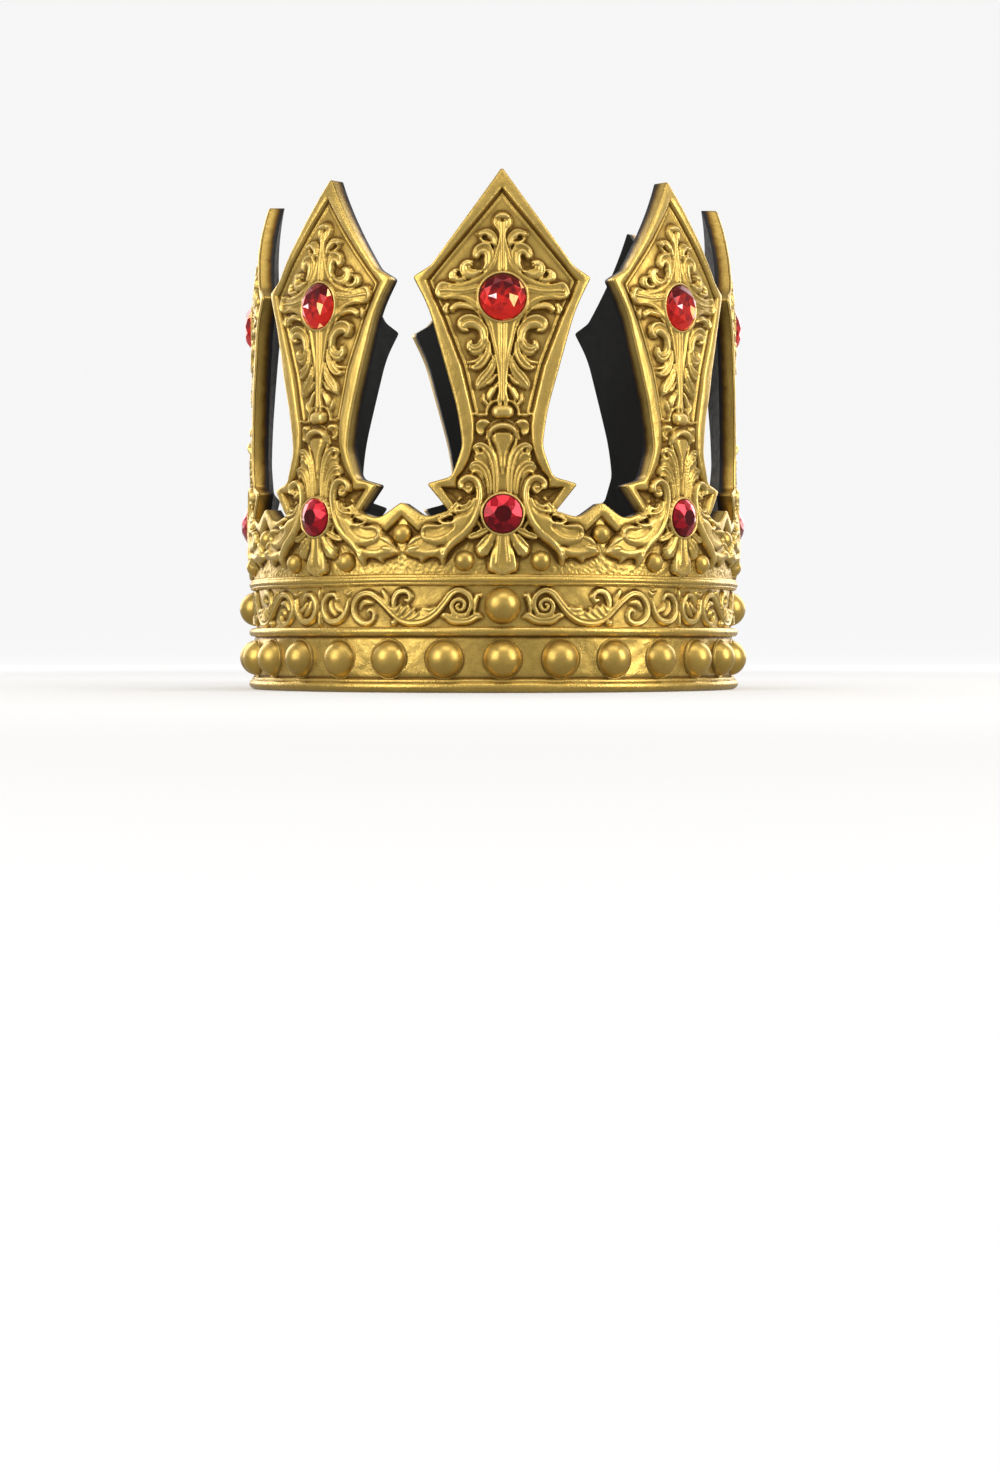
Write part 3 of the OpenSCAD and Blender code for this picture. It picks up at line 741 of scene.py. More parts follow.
def waves(points, size, seed):
    """A smooth random value from -1 to 1 at points in millimetres, with features of about this size."""
    rng = np.random.default_rng(seed)
    value = np.zeros(len(points))
    for _ in range(8):
        direction = rng.normal(size=3)
        direction *= 2 * math.pi / (size * rng.uniform(0.8, 1.6) * np.linalg.norm(direction))
        value += np.sin(points @ direction + rng.uniform(0, 2 * math.pi))
    return value / 4


def crinkled(spots):
    """Crumpled foil from -1 to 1: small blobs between sharp creases."""
    spots = spots * (1, 1, 0.85)
    folds = waves(spots, 2.2, 5) + 0.8 * waves(spots, 1.5, 6)
    return 0.6 - np.minimum(1.6, np.abs(folds))


# Meshes

def on_wall(across, up, out):
    """Places in metres from millimetres along the wall, up it and out of it."""
    angle = across / WALL_R
    radius = WALL_R + out - lean(up)
    return np.stack([radius * np.sin(angle), -radius * np.cos(angle), up + 0 * radius], axis=-1) * MM


def finish_piece(piece, replaced):
    """Hangs a piece on the body it rides on and hides the frame nodes that it takes the place of."""
    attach(piece, BODY)
    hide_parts(*replaced)
    return piece


def dense_piece(name, points, faces, material, hollow, bake_places=None, sharp=None):
    """A smooth mesh from arrays of points and triangles, with how hollow each point is."""
    mesh = bpy.data.meshes.new(name)
    mesh.vertices.add(len(points))
    mesh.vertices.foreach_set("co", np.ascontiguousarray(points, dtype=np.float32).ravel())
    mesh.loops.add(faces.size)
    mesh.loops.foreach_set("vertex_index", np.ascontiguousarray(faces, dtype=np.int32).ravel())
    mesh.polygons.add(len(faces))
    mesh.polygons.foreach_set("loop_start", np.arange(0, faces.size, 3, dtype=np.int32))
    mesh.update(calc_edges=True)
    mesh.validate()
    mesh.shade_smooth()
    values = mesh.attributes.new("hollow", "FLOAT", "POINT")
    values.data.foreach_set("value", np.ascontiguousarray(hollow, dtype=np.float32))
    if sharp is not None:
        ends = np.empty(2 * len(mesh.edges), dtype=np.int32)
        mesh.edges.foreach_get("vertices", ends)
        marks = mesh.attributes.new("sharp_edge", "BOOLEAN", "EDGE")
        marked = np.any([group[ends].reshape(-1, 2).all(1) for group in sharp], axis=0)
        marks.data.foreach_set("value", marked)
    if bake_places is not None:
        layer = mesh.uv_layers.new(name="OFBake")
        layer.data.foreach_set("uv", np.ascontiguousarray(bake_places, dtype=np.float32).ravel())
    piece = bpy.data.objects.new(name, mesh)
    bpy.context.scene.collection.objects.link(piece)
    mesh.materials.append(material)
    return finish_piece(piece, [SHELL])


def quads_to_triangles(a, b, c, d):
    """Two triangles for each quad whose corners stand in four arrays."""
    return np.concatenate([np.stack([a, b, c], -1).reshape(-1, 3), np.stack([a, c, d], -1).reshape(-1, 3)])


def triangulated(rim, inner):
    """Triangles that fill a closed rim through the inner points, which keep their order after the rim's."""
    points = np.vstack([rim, inner])
    count = len(rim)
    edges = [(i, (i + 1) % count) for i in range(count)]
    places, _, faces, *_ = delaunay_2d_cdt([Vector(p) for p in points.tolist()], edges, [], 1, 1e-7)
    if len(places) != len(points):
        raise RuntimeError("the points of a carved face met each other")
    faces = np.array(faces)
    a, b, c = (points[faces[:, i]] for i in range(3))
    flip = (b - a)[:, 0] * (c - a)[:, 1] - (b - a)[:, 1] * (c - a)[:, 0] < 0
    faces[flip] = faces[flip][:, ::-1]
    return points, faces


def hex_grid(low, high, step):
    """Points of an even triangular grid."""
    rise = step * math.sqrt(3) / 2
    rows = np.arange(low[1], high[1], rise)
    columns = np.arange(low[0], high[0], step)
    across = columns[None, :] + step / 2 * (np.arange(len(rows)) % 2)[:, None]
    return np.column_stack([across.ravel(), np.repeat(rows, len(columns))])


def face_rim(outline, step):
    """The closed rim of half a spire: its outline, the seam, the foot and the middle line."""
    side = even_steps(outline, step * 1.25)
    seam = even_steps(np.array([side[-1], (SEAM, SPIRE_FOOT)]), step)
    foot = even_steps(np.array([(SEAM, SPIRE_FOOT), (0, SPIRE_FOOT)]), step * 2)
    middle = even_steps(np.array([(0, SPIRE_FOOT), side[0]]), step)
    return side, np.vstack([side[:-1], seam[:-1], foot[:-1], middle[:-1]])


def edge_rows(side, depths):
    """Rows of points that follow the outline at small depths, to carry its round edge."""
    along = np.gradient(side, axis=0)
    inward = np.column_stack([along[:, 1], -along[:, 0]]) / np.hypot(*along.T)[:, None]
    rows = []
    for depth in depths:
        row = side + depth * inward
        keep = (line_distance(row, side) > depth * 0.93) & (row[:, 0] > 0.15) & (row[:, 0] < SEAM - 0.15)
        rows.append(row[keep])
    return np.vstack(rows)


def seat_rows(stone, step):
    """Rings of points at a stone's seat, where its wall stands."""
    rings = []
    wall = stone.radius + SEAT_PLAY
    for radius in (wall - 0.04, wall + 0.04, wall + 0.3):
        count = round(math.pi * radius / step)
        angle = (np.arange(count) + 0.5) * math.pi / count - math.pi / 2
        rings.append(np.column_stack([radius * np.cos(angle), stone.up + radius * np.sin(angle)]))
    return np.vstack(rings)


def spire_mesh(sizes):
    """Half widths, heights and triangles of a whole spire with its share of the band."""
    step = sizes.mesh_step / MM
    edge_round = sizes.edge_round / MM
    outline = spire_outline()
    side, rim = face_rim(outline, step)
    guides = np.vstack([
        edge_rows(side, (0.12, 0.35, 0.75)), seat_rows(UPPER_STONE, step), seat_rows(LOWER_STONE, step)])
    guides = guides[guides[:, 0] > 0.2]
    grid = hex_grid((0, SPIRE_FOOT), (SEAM, TIP_Z), step)
    grid = grid[inside_outline(grid, rim) & (grid[:, 0] > step * 0.45) & (grid[:, 0] < SEAM - step * 0.45)]
    grid = grid[(line_distance(grid, side) > 0.75 + step * 0.5) & (grid[:, 1] > SPIRE_FOOT + step * 0.5)]
    for stone in (UPPER_STONE, LOWER_STONE):
        away = np.hypot(grid[:, 0], grid[:, 1] - stone.up) - stone.radius - SEAT_PLAY
        grid = grid[(away < -0.3) | (away > 0.5)]
    front, front_faces = triangulated(rim, np.vstack([guides, grid]))
    coarse = hex_grid((0, SPIRE_FOOT), (SEAM, TIP_Z), 3.0)
    coarse = coarse[inside_outline(coarse, rim) & (line_distance(coarse, rim) > 1.2)]
    back, back_faces = triangulated(rim, coarse)

    count = len(rim)
    points = np.vstack([front, rim, back])
    out = np.concatenate([
        spire_height(front, side, edge_round), np.full(count, BORE_OUT + 0.5),
        np.full(len(back), BORE_OUT)])
    middle_ring, back_ring = len(front), len(front) + count
    here = np.arange(count)
    there = (here + 1) % count
    on_middle = (rim[here, 0] < 1e-6) & (rim[there, 0] < 1e-6)
    here, there = here[~on_middle], there[~on_middle]
    walls = [
        quads_to_triangles(there, here, here + middle_ring, there + middle_ring),
        quads_to_triangles(there + middle_ring, here + middle_ring, here + back_ring, there + back_ring)]
    faces = np.vstack([front_faces] + walls + [back_faces[:, ::-1] + back_ring])
    part = np.concatenate([
        np.zeros(len(front_faces)), np.ones(sum(map(len, walls))), np.full(len(back_faces), 2)])
    return mirrored_half(points, out, faces, part, rim, count, back_ring, side)


def mirrored_half(points, out, faces, part, rim, count, back_ring, side):
    """Both halves of a spire in one, welded on the middle line, with its bake places and sharp edges."""
    along = np.gradient(rim, axis=0)
    outward = np.column_stack([-along[:, 1], along[:, 0]]) / np.maximum(np.hypot(*along.T), 1e-9)[:, None]
    laid = points.copy()
    middle_ring = back_ring - count
    laid[middle_ring:back_ring] += outward * 2.0
    shift = SECTOR + 8
    corner_places = laid[faces]
    wall = part == 1
    back_corner = faces[wall] >= back_ring
    rim_index = np.where(back_corner, faces[wall] - back_ring, 0)
    corner_places[wall] = np.where(
        back_corner[..., None], rim[rim_index] + outward[rim_index] * 3.5, corner_places[wall])
    corner_places[part == 2, :, 0] = corner_places[part == 2, :, 0] + shift

    twin = points[:, 0] > 1e-6
    partner = np.arange(len(points))
    partner[twin] = len(points) + np.arange(twin.sum())
    all_points = np.vstack([points, points[twin] * (-1, 1)])
    all_out = np.concatenate([out, out[twin]])
    all_faces = np.vstack([faces, partner[faces][:, ::-1]])
    centre = np.where(part == 2, shift, 0)[:, None]
    twin_places = corner_places[:, ::-1].copy()
    twin_places[..., 0] = 2 * centre - twin_places[..., 0]
    places = np.vstack([corner_places, twin_places])
    places = (places - (-SEAM - 4, SPIRE_FOOT - 4)) / (2 * SECTOR + 24)

    on_back = np.zeros(len(points), bool)
    on_back[back_ring:back_ring + count] = True
    on_seam = np.abs(points[:, 0] - SEAM) < 1e-6
    sharp = [np.concatenate([group, group[twin]]) for group in (on_back, on_seam)]
    return all_points, all_out, all_faces, places, sharp


def wrapped_grid(across, out_rows, up_rows):
    """Points and triangles of a closed sheet turned round the ring, a row for each step of its section."""
    steps, rows = len(across), len(up_rows)
    up = np.repeat(up_rows, steps) if np.ndim(up_rows) == 1 else up_rows.ravel()
    points = on_wall(np.tile(across, rows), up, out_rows.ravel())
    column = np.arange(steps)
    row = np.arange(rows)
    here = (row[:, None] * steps + column).ravel()
    right = (row[:, None] * steps + (column + 1) % steps).ravel()
    above = (((row + 1) % rows)[:, None] * steps + column).ravel()
    corner = (((row + 1) % rows)[:, None] * steps + (column + 1) % steps).ravel()
    return points, quads_to_triangles(here, right, corner, above)


def wrapped_bake_places(faces, steps, rows, lengths, strips=8):
    """Bake places for a sheet turned round the ring, cut into strips that lie above each other."""
    column = faces % steps
    row = faces // steps
    column = np.where((column == 0) & (column.max(1, keepdims=True) > steps // 2), steps, column)
    row = np.where((row == 0) & (row.max(1, keepdims=True) > rows // 2), rows, row)
    along = column / steps * strips
    strip = np.clip(np.floor(along.mean(1, keepdims=True)), 0, strips - 1)
    length = 2 * math.pi * WALL_R / strips
    pitch = lengths[-1] + 1.0
    size = max(length, strips * pitch)
    return np.stack([(along - strip) * length / size, (strip * pitch + lengths[row]) / size], -1)


def section_lengths(out, up):
    """Length along a closed section up to each of its points and back to the first."""
    section = np.column_stack([out, up])
    steps = np.hypot(*(np.roll(section, -1, axis=0) - section).T)
    return np.concatenate([[0], np.cumsum(steps)])


def beads_out(up, beads, ground):
    """How far a row of half-round beads stands out at each height."""
    out = np.full(len(up), ground, float)
    for centre, stand, radius in beads:
        reach = np.clip(radius ** 2 - (up - centre) ** 2, 0, None)
        out = np.where(np.abs(up - centre) < radius, np.maximum(out, stand + np.sqrt(reach)), out)
    return out


def turned_piece(name, sizes, out, up, material, ripple=0.0, dented=(0, 1, 0, 1)):
    """A closed section turned round the ring, which wanders a little as a moulding does."""
    steps = sizes.ring_steps
    across = np.arange(steps) * 2 * math.pi * WALL_R / steps
    out_rows = np.repeat(out[:, None], steps, axis=1)
    up_rows = np.repeat(up[:, None], steps, axis=1)
    face = out > -1.0
    spots = on_wall(np.tile(across, len(up)), np.repeat(up, steps), np.repeat(out, steps)) / MM
    sway = waves(spots, 26, 3).reshape(out_rows.shape)
    out_rows[face] += sway[face] * sizes.wobble / MM
    field = smooth_step(up, *dented[:2]) * (1 - smooth_step(up, *dented[2:])) * face
    dents = (waves(spots * (1, 1, 0.4), 10, 6) + 0.25 * waves(spots, 4.5, 7)).reshape(out_rows.shape)
    out_rows += dents * field[:, None] * sizes.dent_depth / MM
    up_rows[face] += waves(spots * (1, 1, 0), 34, 4).reshape(out_rows.shape)[face] * ripple
    points, faces = wrapped_grid(across, out_rows, up_rows)
    # How far each row lies below its smoothed section: the gold paints shade into the grooves and a lighter
    # highlight onto the crests
    smooth = np.convolve(np.pad(out, 4, mode="wrap"), np.ones(9) / 9, "valid")
    hollow = np.where(face, np.clip(1.5 * (smooth - out), -0.6, 1.2), 0)
    places = wrapped_bake_places(faces, steps, len(up), section_lengths(out, up))
    return dense_piece(name, points, faces, material, np.repeat(hollow, steps), places)


def dome_section(ball, rings):
    """Radius and height of a ball's visible part, its groove and its thin collar, out of the wall."""
    angle = np.linspace(0, math.acos((ball.sink - 0.05) / ball.radius), rings)
    radius, out = ball.radius * np.sin(angle), ball.radius * np.cos(angle) - ball.sink
    foot, collar, buried = radius[-1], ball.collar, -1.0
    ring = [(0.0, buried)]
    if collar:
        ring = [(0.06, 0.06), (0.15, 0.14), (0.15 + 0.4 * collar, 0.27), (0.15 + 0.8 * collar, 0.25),
                (0.25 + 1.2 * collar, 0.05), (0.25 + 1.3 * collar, buried)]
    return (np.concatenate([radius, [foot + r for r, _ in ring], [0.0]]),
            np.concatenate([out, [o for _, o in ring], [buried]]))


def balls_piece(name, ball, turns, sizes, material):
    """Equal balls set round the ring and joined in one piece."""
    rings = max(8, round(sizes.dome_rings * ball.radius / STUD.radius))
    sides = 3 * rings
    radius, section_out = dome_section(ball, rings)
    angle = np.arange(sides) * 2 * math.pi / sides
    across = np.concatenate([[0], (radius[1:-1, None] * np.cos(angle)).ravel(), [0]])
    up = np.concatenate([[0], (radius[1:-1, None] * np.sin(angle)).ravel(), [0]])
    out = np.concatenate([section_out[:1], np.repeat(section_out[1:-1], sides), section_out[-1:]])
    on_collar = np.hypot(across, up) > ball.radius
    bend = np.sqrt((WALL_R + out) ** 2 - across ** 2) - WALL_R
    out = np.where(on_collar, bend, out)
    here = np.arange(sides)
    there = (here + 1) % sides
    last = len(across) - 1
    faces = [np.stack([np.zeros(sides, int), here + 1, there + 1], -1)]
    for ring in range(len(radius) - 3):
        low, high = 1 + ring * sides, 1 + (ring + 1) * sides
        faces.append(quads_to_triangles(low + here, high + here, high + there, low + there))
    tail = 1 + (len(radius) - 3) * sides
    faces.append(np.stack([tail + here, np.full(sides, last), tail + there], -1))
    faces = np.vstack(faces)

    lengths = np.concatenate([[0], np.cumsum(np.hypot(np.diff(radius), np.diff(section_out)))])
    spread = np.concatenate([[0], np.repeat(lengths[1:-1], sides), [lengths[-2] + 0.4]])
    bearing = np.concatenate([[0], np.tile(angle, len(radius) - 2), [0]])
    flat = np.column_stack([spread * np.cos(bearing), spread * np.sin(bearing)])
    cells = math.ceil(math.sqrt(len(turns)))
    pitch = 2 * (lengths[-2] + 0.8)
    points, all_faces, places = [], [], []
    for number, turn in enumerate(turns):
        centre_angle = turn + ball.across / WALL_R
        outward = np.array([math.sin(centre_angle), -math.cos(centre_angle), 0])
        along = np.array([math.cos(centre_angle), math.sin(centre_angle), 0])
        spot = (WALL_R + out)[:, None] * outward + across[:, None] * along
        spot[:, 2] += ball.up + up
        points.append(spot * MM)
        all_faces.append(faces + number * len(across))
        cell = np.array(divmod(number, cells)) + 0.5
        places.append((flat[faces] + cell * pitch) / (cells * pitch))
    points = np.vstack(points)
    swell = waves(points / MM, 9, 11)[:, None] * 0.05 * MM
    outwards = points * (1, 1, 0) / np.maximum(np.hypot(points[:, 0], points[:, 1]), 1e-9)[:, None]
    # Painted shade round each ball's foot where it meets the wall, and a lighter painted highlight on a
    # stud's collar
    hollow = np.where(np.abs(out - 0.26) < 0.02, -0.2, 0.45 * np.exp(-np.clip(out, 0, None) / 0.35))
    return dense_piece(
        name, points + outwards * swell, np.vstack(all_faces), material, np.tile(hollow, len(turns)),
        np.vstack(places))


def stone_facets(cuts, stone, table_share):
    """Corners and facets of a stone: cells in the table, stars, kites and two facets to each kite."""
    height = stone.table - stone.back
    girdle = 0.3 * height
    table_r = stone.radius * table_share
    middle_r = (stone.radius + table_r) * 0.52
    slope = (girdle - height) / (stone.radius - table_r)
    middle_h = height + slope * (middle_r * math.cos(math.pi / cuts) - table_r)
    inner_r = 0.5 * table_r * math.cos(math.pi / cuts)

    def ring(count, radius, rise, start=0.0):
        angle = start + 2 * math.pi * np.arange(count) / count
        return np.column_stack([radius * np.sin(angle), radius * np.cos(angle), np.full(count, rise)])

    corners = np.vstack([
        ring(cuts, table_r, height), ring(cuts, middle_r, middle_h, math.pi / cuts),
        ring(2 * cuts, stone.radius, girdle), ring(2 * cuts, stone.radius, 0.0),
        ring(cuts, inner_r, height, math.pi / cuts), [(0, 0, height)]])
    middle, upper, lower, inner, centre = cuts, 2 * cuts, 4 * cuts, 6 * cuts, 7 * cuts
    faces = []
    for i in range(cuts):
        after, before = (i + 1) % cuts, (i - 1) % cuts
        faces.append((centre, inner + i, inner + before))
        faces.append((inner + i, i, inner + before))
        faces.append((inner + i, after, i))
        faces.append((i, after, middle + i))
        faces.append((i, middle + i, upper + 2 * i, middle + before))
        faces.append((middle + i, upper + 2 * i + 1, upper + 2 * i))
        faces.append((middle + i, upper + (2 * i + 2) % (2 * cuts), upper + 2 * i + 1))
    for i in range(2 * cuts):
        after = (i + 1) % (2 * cuts)
        faces.append((upper + i, upper + after, lower + after, lower + i))
    faces.append(tuple(lower + i for i in range(2 * cuts)))
    return corners, faces


def upper_painted_light(centres, rng):
    """Painted light of an upper stone's facets: painted shade above, lighter below, a painted pale spark left
    and a painted warm flash right.
    """
    tone = 0.46 - 0.5 * centres[:, 1] + rng.uniform(-0.24, 0.24, len(centres))
    flashes = (((0.46, -0.10), FLASH, 2), ((0.78, 0.34), FLASH, 1), ((-0.34, 0.10), SPARK, 1))
    for spot, code, count in flashes:
        tone[np.hypot(*(centres[:, :2] - spot).T).argsort()[:count]] = code
    return tone


def lower_painted_light(centres, rng):
    """Painted light of a lower stone's facets: a table painted dark in a ring that is painted brightest at
    the top right.
    """
    away = np.hypot(centres[:, 0], centres[:, 1])
    tone = 0.58 + 0.28 * (0.5 * centres[:, 0] + centres[:, 1]) + rng.uniform(-0.26, 0.26, len(centres))
    return np.where(away < 0.42, rng.uniform(0.0, 0.12, len(centres)), tone)


def cut_stone(name, stone, turn, cuts, table_share, painted_light_of, material, node, seed):
    """A faceted flat-backed stone; a function gives every facet its painted light from its place."""
    corners, faces = stone_facets(cuts, stone, table_share)
    sine, cosine = math.sin(turn), math.cos(turn)
    out = stone.back + corners[:, 2]
    points = MM * np.column_stack([
        out * sine + corners[:, 0] * cosine, -out * cosine + corners[:, 0] * sine,
        stone.up + corners[:, 1]])
    mesh = bpy.data.meshes.new(name)
    mesh.from_pydata(points.tolist(), [], faces)
    centres = np.array([corners[list(face)].mean(0) for face in faces]) / stone.radius
    tone = painted_light_of(centres, np.random.default_rng(seed))
    values = mesh.attributes.new("tone", "FLOAT", "FACE")
    values.data.foreach_set("value", tone.astype(np.float32))
    mesh.materials.append(material)
    piece = bpy.data.objects.new(name, mesh)
    bpy.context.scene.collection.objects.link(piece)
    bevel = piece.modifiers.new("facet_edges", "BEVEL")
    bevel.width = 0.00008
    bevel.segments = 1
    bevel.limit_method = "ANGLE"
    bevel.angle_limit = math.radians(5)
    return finish_piece(piece, [node])


# Shader nodes

def add_node(tree, kind, inputs=None, **settings):
    """A node with its settings, and each input set to a value or linked to a socket."""
    node = tree.nodes.new(kind)
    for name, value in settings.items():
        setattr(node, name, value)
    for name, value in (inputs or {}).items():
        if isinstance(value, bpy.types.NodeSocket):
            tree.links.new(value, node.inputs[name])
        else:
            node.inputs[name].default_value = value
    return node


def maths(tree, operation, first, second=0.5):
    """A maths node's result."""
    return add_node(tree, "ShaderNodeMath", {0: first, 1: second}, operation=operation).outputs[0]


def mixed(tree, share, first, second, blend="MIX"):
    """Two colours mixed by a share."""
    node = add_node(tree, "ShaderNodeMix", {"Factor": share}, data_type="RGBA", blend_type=blend)
    for socket, value in ((node.inputs[6], first), (node.inputs[7], second)):
        if isinstance(value, bpy.types.NodeSocket):
            tree.links.new(value, socket)
        else:
            socket.default_value = value
    return node.outputs[2]


def ranged(tree, value, low, high, to_low=0.0, to_high=1.0):
    """A value moved from one range to another with an easy curve."""
    return add_node(tree, "ShaderNodeMapRange", {
        "Value": value, "From Min": low, "From Max": high, "To Min": to_low, "To Max": to_high},
        interpolation_type="SMOOTHSTEP").outputs["Result"]


def new_group(name, inputs, outputs):
    """An empty shader node group with named sockets, each given as a name, a kind and a default."""
    group = bpy.data.node_groups.new(name, "ShaderNodeTree")
    for label, kind, default in inputs:
        socket = group.interface.new_socket(label, in_out="INPUT", socket_type=f"NodeSocket{kind}")
        if default is not None:
            socket.default_value = default
    for label, kind in outputs:
        group.interface.new_socket(label, in_out="OUTPUT", socket_type=f"NodeSocket{kind}")
    return group, group.nodes.new("NodeGroupInput").outputs, group.nodes.new("NodeGroupOutput").inputs


def noise(tree, scale, detail=3.0, rough=0.5, kind="Fac"):
    """Noise in the crown's own coordinates; the scale is in features to a metre."""
    place = add_node(tree, "ShaderNodeTexCoord").outputs["Object"]
    return add_node(tree, "ShaderNodeTexNoise", {
        "Vector": place, "Scale": scale, "Detail": detail, "Roughness": rough}).outputs[kind]


def wash_and_shade_group():
    """Brown wash in the hollows, which also paints shade into them, and lighter raised edges, partly rubbed
    and partly a painted highlight.
    """
    group, given, result = new_group(
        "hollow_wash_and_shade",
        [("Color", "Color", None), ("Worn Color", "Color", None), ("Wash Color", "Color", None),
         ("Hollow", "Float", 0.0), ("Wash", "Float", 1.0), ("Wear", "Float", 1.0)],
        [("Color", "Color"), ("Wash Mask", "Float")])
    patchy = maths(group, "MULTIPLY", maths(group, "SUBTRACT", noise(group, 160.0, 4.0, 0.6), 0.5), 0.35)
    hollow = maths(group, "ADD", given["Hollow"], patchy)
    # Painted shade: the brown wash darkens the hollows
    wash_and_shade = maths(group, "MULTIPLY", ranged(group, hollow, 0.02, 0.60), given["Wash"])
    # Rubbed wear and painted highlight: the crests take the lighter gold
    wear_and_highlight = maths(group, "MULTIPLY", ranged(group, hollow, -0.1, -0.9), given["Wear"])
    group.links.new(
        mixed(group, wash_and_shade, mixed(group, wear_and_highlight, given["Color"], given["Worn Color"]), given["Wash Color"]),
        result["Color"])
    group.links.new(wash_and_shade, result["Wash Mask"])
    return group


def skin_group():
    """Sprayed metallic paint: soft tone patches, a fine pigment fleck and a slightly uneven skin."""
    group, given, result = new_group(
        "paint_skin",
        [("Color", "Color", None), ("Patches", "Float", 0.2), ("Fleck", "Float", 0.15),
         ("Rough", "Float", 0.36), ("Crinkle", "Float", 0.3)],
        [("Color", "Color"), ("Roughness", "Float"), ("Height", "Float")])
    patch = ranged(group, noise(group, 45.0, 3.0), 0.3, 0.7, -1.0, 1.0)
    fleck = ranged(group, noise(group, 2600.0, 2.0), 0.3, 0.7, -1.0, 1.0)
    tone = maths(group, "ADD", maths(group, "MULTIPLY", patch, given["Patches"]),
                 maths(group, "MULTIPLY", fleck, given["Fleck"]))
    bright = add_node(group, "ShaderNodeHueSaturation", {
        "Value": maths(group, "ADD", tone, 1.0), "Color": given["Color"]})
    group.links.new(bright.outputs["Color"], result["Color"])
    streak = ranged(group, noise(group, 300.0, 4.0), 0.35, 0.7, -0.06, 0.08)
    group.links.new(maths(group, "ADD", given["Rough"], streak), result["Roughness"])
    fine = maths(group, "MULTIPLY", noise(group, 1500.0, 3.0, 0.6), 0.35)
    broad = maths(group, "MULTIPLY", noise(group, 420.0, 3.0, 0.55), given["Crinkle"])
    group.links.new(maths(group, "ADD", fine, broad), result["Height"])
    return group


def depth_group():
    """Mask that is 1 on the painted outside and 0 inside the wall, by the distance from the axis."""
    group, given, result = new_group(
        "painted_depth", [("Bare Radius", "Float", 0.0), ("Painted Radius", "Float", 0.0)],
        [("Painted", "Float")])
    place = add_node(group, "ShaderNodeTexCoord").outputs["Object"]
    flat = add_node(group, "ShaderNodeVectorMath", {0: place, 1: (1, 1, 0)}, operation="MULTIPLY")
    flat = flat.outputs["Vector"]
    away = add_node(group, "ShaderNodeVectorMath", {0: flat}, operation="LENGTH").outputs["Value"]
    ragged = maths(group, "MULTIPLY", maths(group, "SUBTRACT", noise(group, 220.0, 3.0), 0.5), 0.0014)
    up = add_node(group, "ShaderNodeSeparateXYZ", {0: place}).outputs["Z"]
    share = add_node(group, "ShaderNodeMapRange", {
        "Value": up, "From Min": LEAN_START * MM, "From Max": TIP_Z * MM}).outputs["Result"]
    leaning = maths(group, "MULTIPLY", maths(group, "POWER", share, 2.0), TIP_LEAN * MM)
    upright = maths(group, "ADD", maths(group, "ADD", away, ragged), leaning)
    painted = ranged(group, upright, given["Bare Radius"], given["Painted Radius"])
    group.links.new(painted, result["Painted"])
    return group


def foil_group():
    """Painted light from the foil behind each facet, in the colour and in a painted glow: dark, full red or a
    painted flash.
    """
    group, given, result = new_group(
        "foil_facets",
        [("Color", "Color", None), ("Deep Color", "Color", None), ("Glint Color", "Color", None),
         ("Tone", "Float", 0.5), ("Depth", "Float", 0.2), ("Spark Color", "Color", None),
         ("Body Glow", "Float", 0.14)],
        [("Color", "Color"), ("Glow", "Color")])
    cloud = maths(group, "MULTIPLY", maths(group, "SUBTRACT", noise(group, 420.0, 2.0), 0.5), given["Depth"])
    tone = maths(group, "ADD", given["Tone"], cloud)
    body = mixed(group, ranged(group, tone, 0.0, 0.9), given["Deep Color"], given["Color"])
    flash = maths(group, "GREATER_THAN", given["Tone"], (1 + FLASH) / 2)
    flash = maths(group, "MULTIPLY", flash, ranged(group, cloud, -0.12, 0.02, 0.55, 1.0))
    spark = maths(group, "GREATER_THAN", given["Tone"], (FLASH + SPARK) / 2)
    flash_color = mixed(group, spark, given["Glint Color"], given["Spark Color"])
    group.links.new(mixed(group, flash, body, flash_color), result["Color"])
    glow = mixed(group, given["Body Glow"], (0, 0, 0, 1), body)
    group.links.new(mixed(group, flash, glow, flash_color), result["Glow"])
    return group


def shader_material(name):
    """A node material with one Principled shader."""
    material = bpy.data.materials.new(name)
    material.use_nodes = True
    return material, material.node_tree, material.node_tree.nodes["Principled BSDF"]


def shared_group(name, make):
    """A node group that is built the first time it is asked for."""
    return bpy.data.node_groups.get(name) or make()


def place_group(tree, name, make, **inputs):
    """A group placed in a material with its own values; an underscore stands for a socket name's space."""
    node = tree.nodes.new("ShaderNodeGroup")
    node.node_tree = shared_group(name, make)
    for label, value in inputs.items():
        socket = node.inputs[label.replace("_", " ")]
        if isinstance(value, bpy.types.NodeSocket):
            tree.links.new(value, socket)
        else:
            socket.default_value = value
    return node.outputs


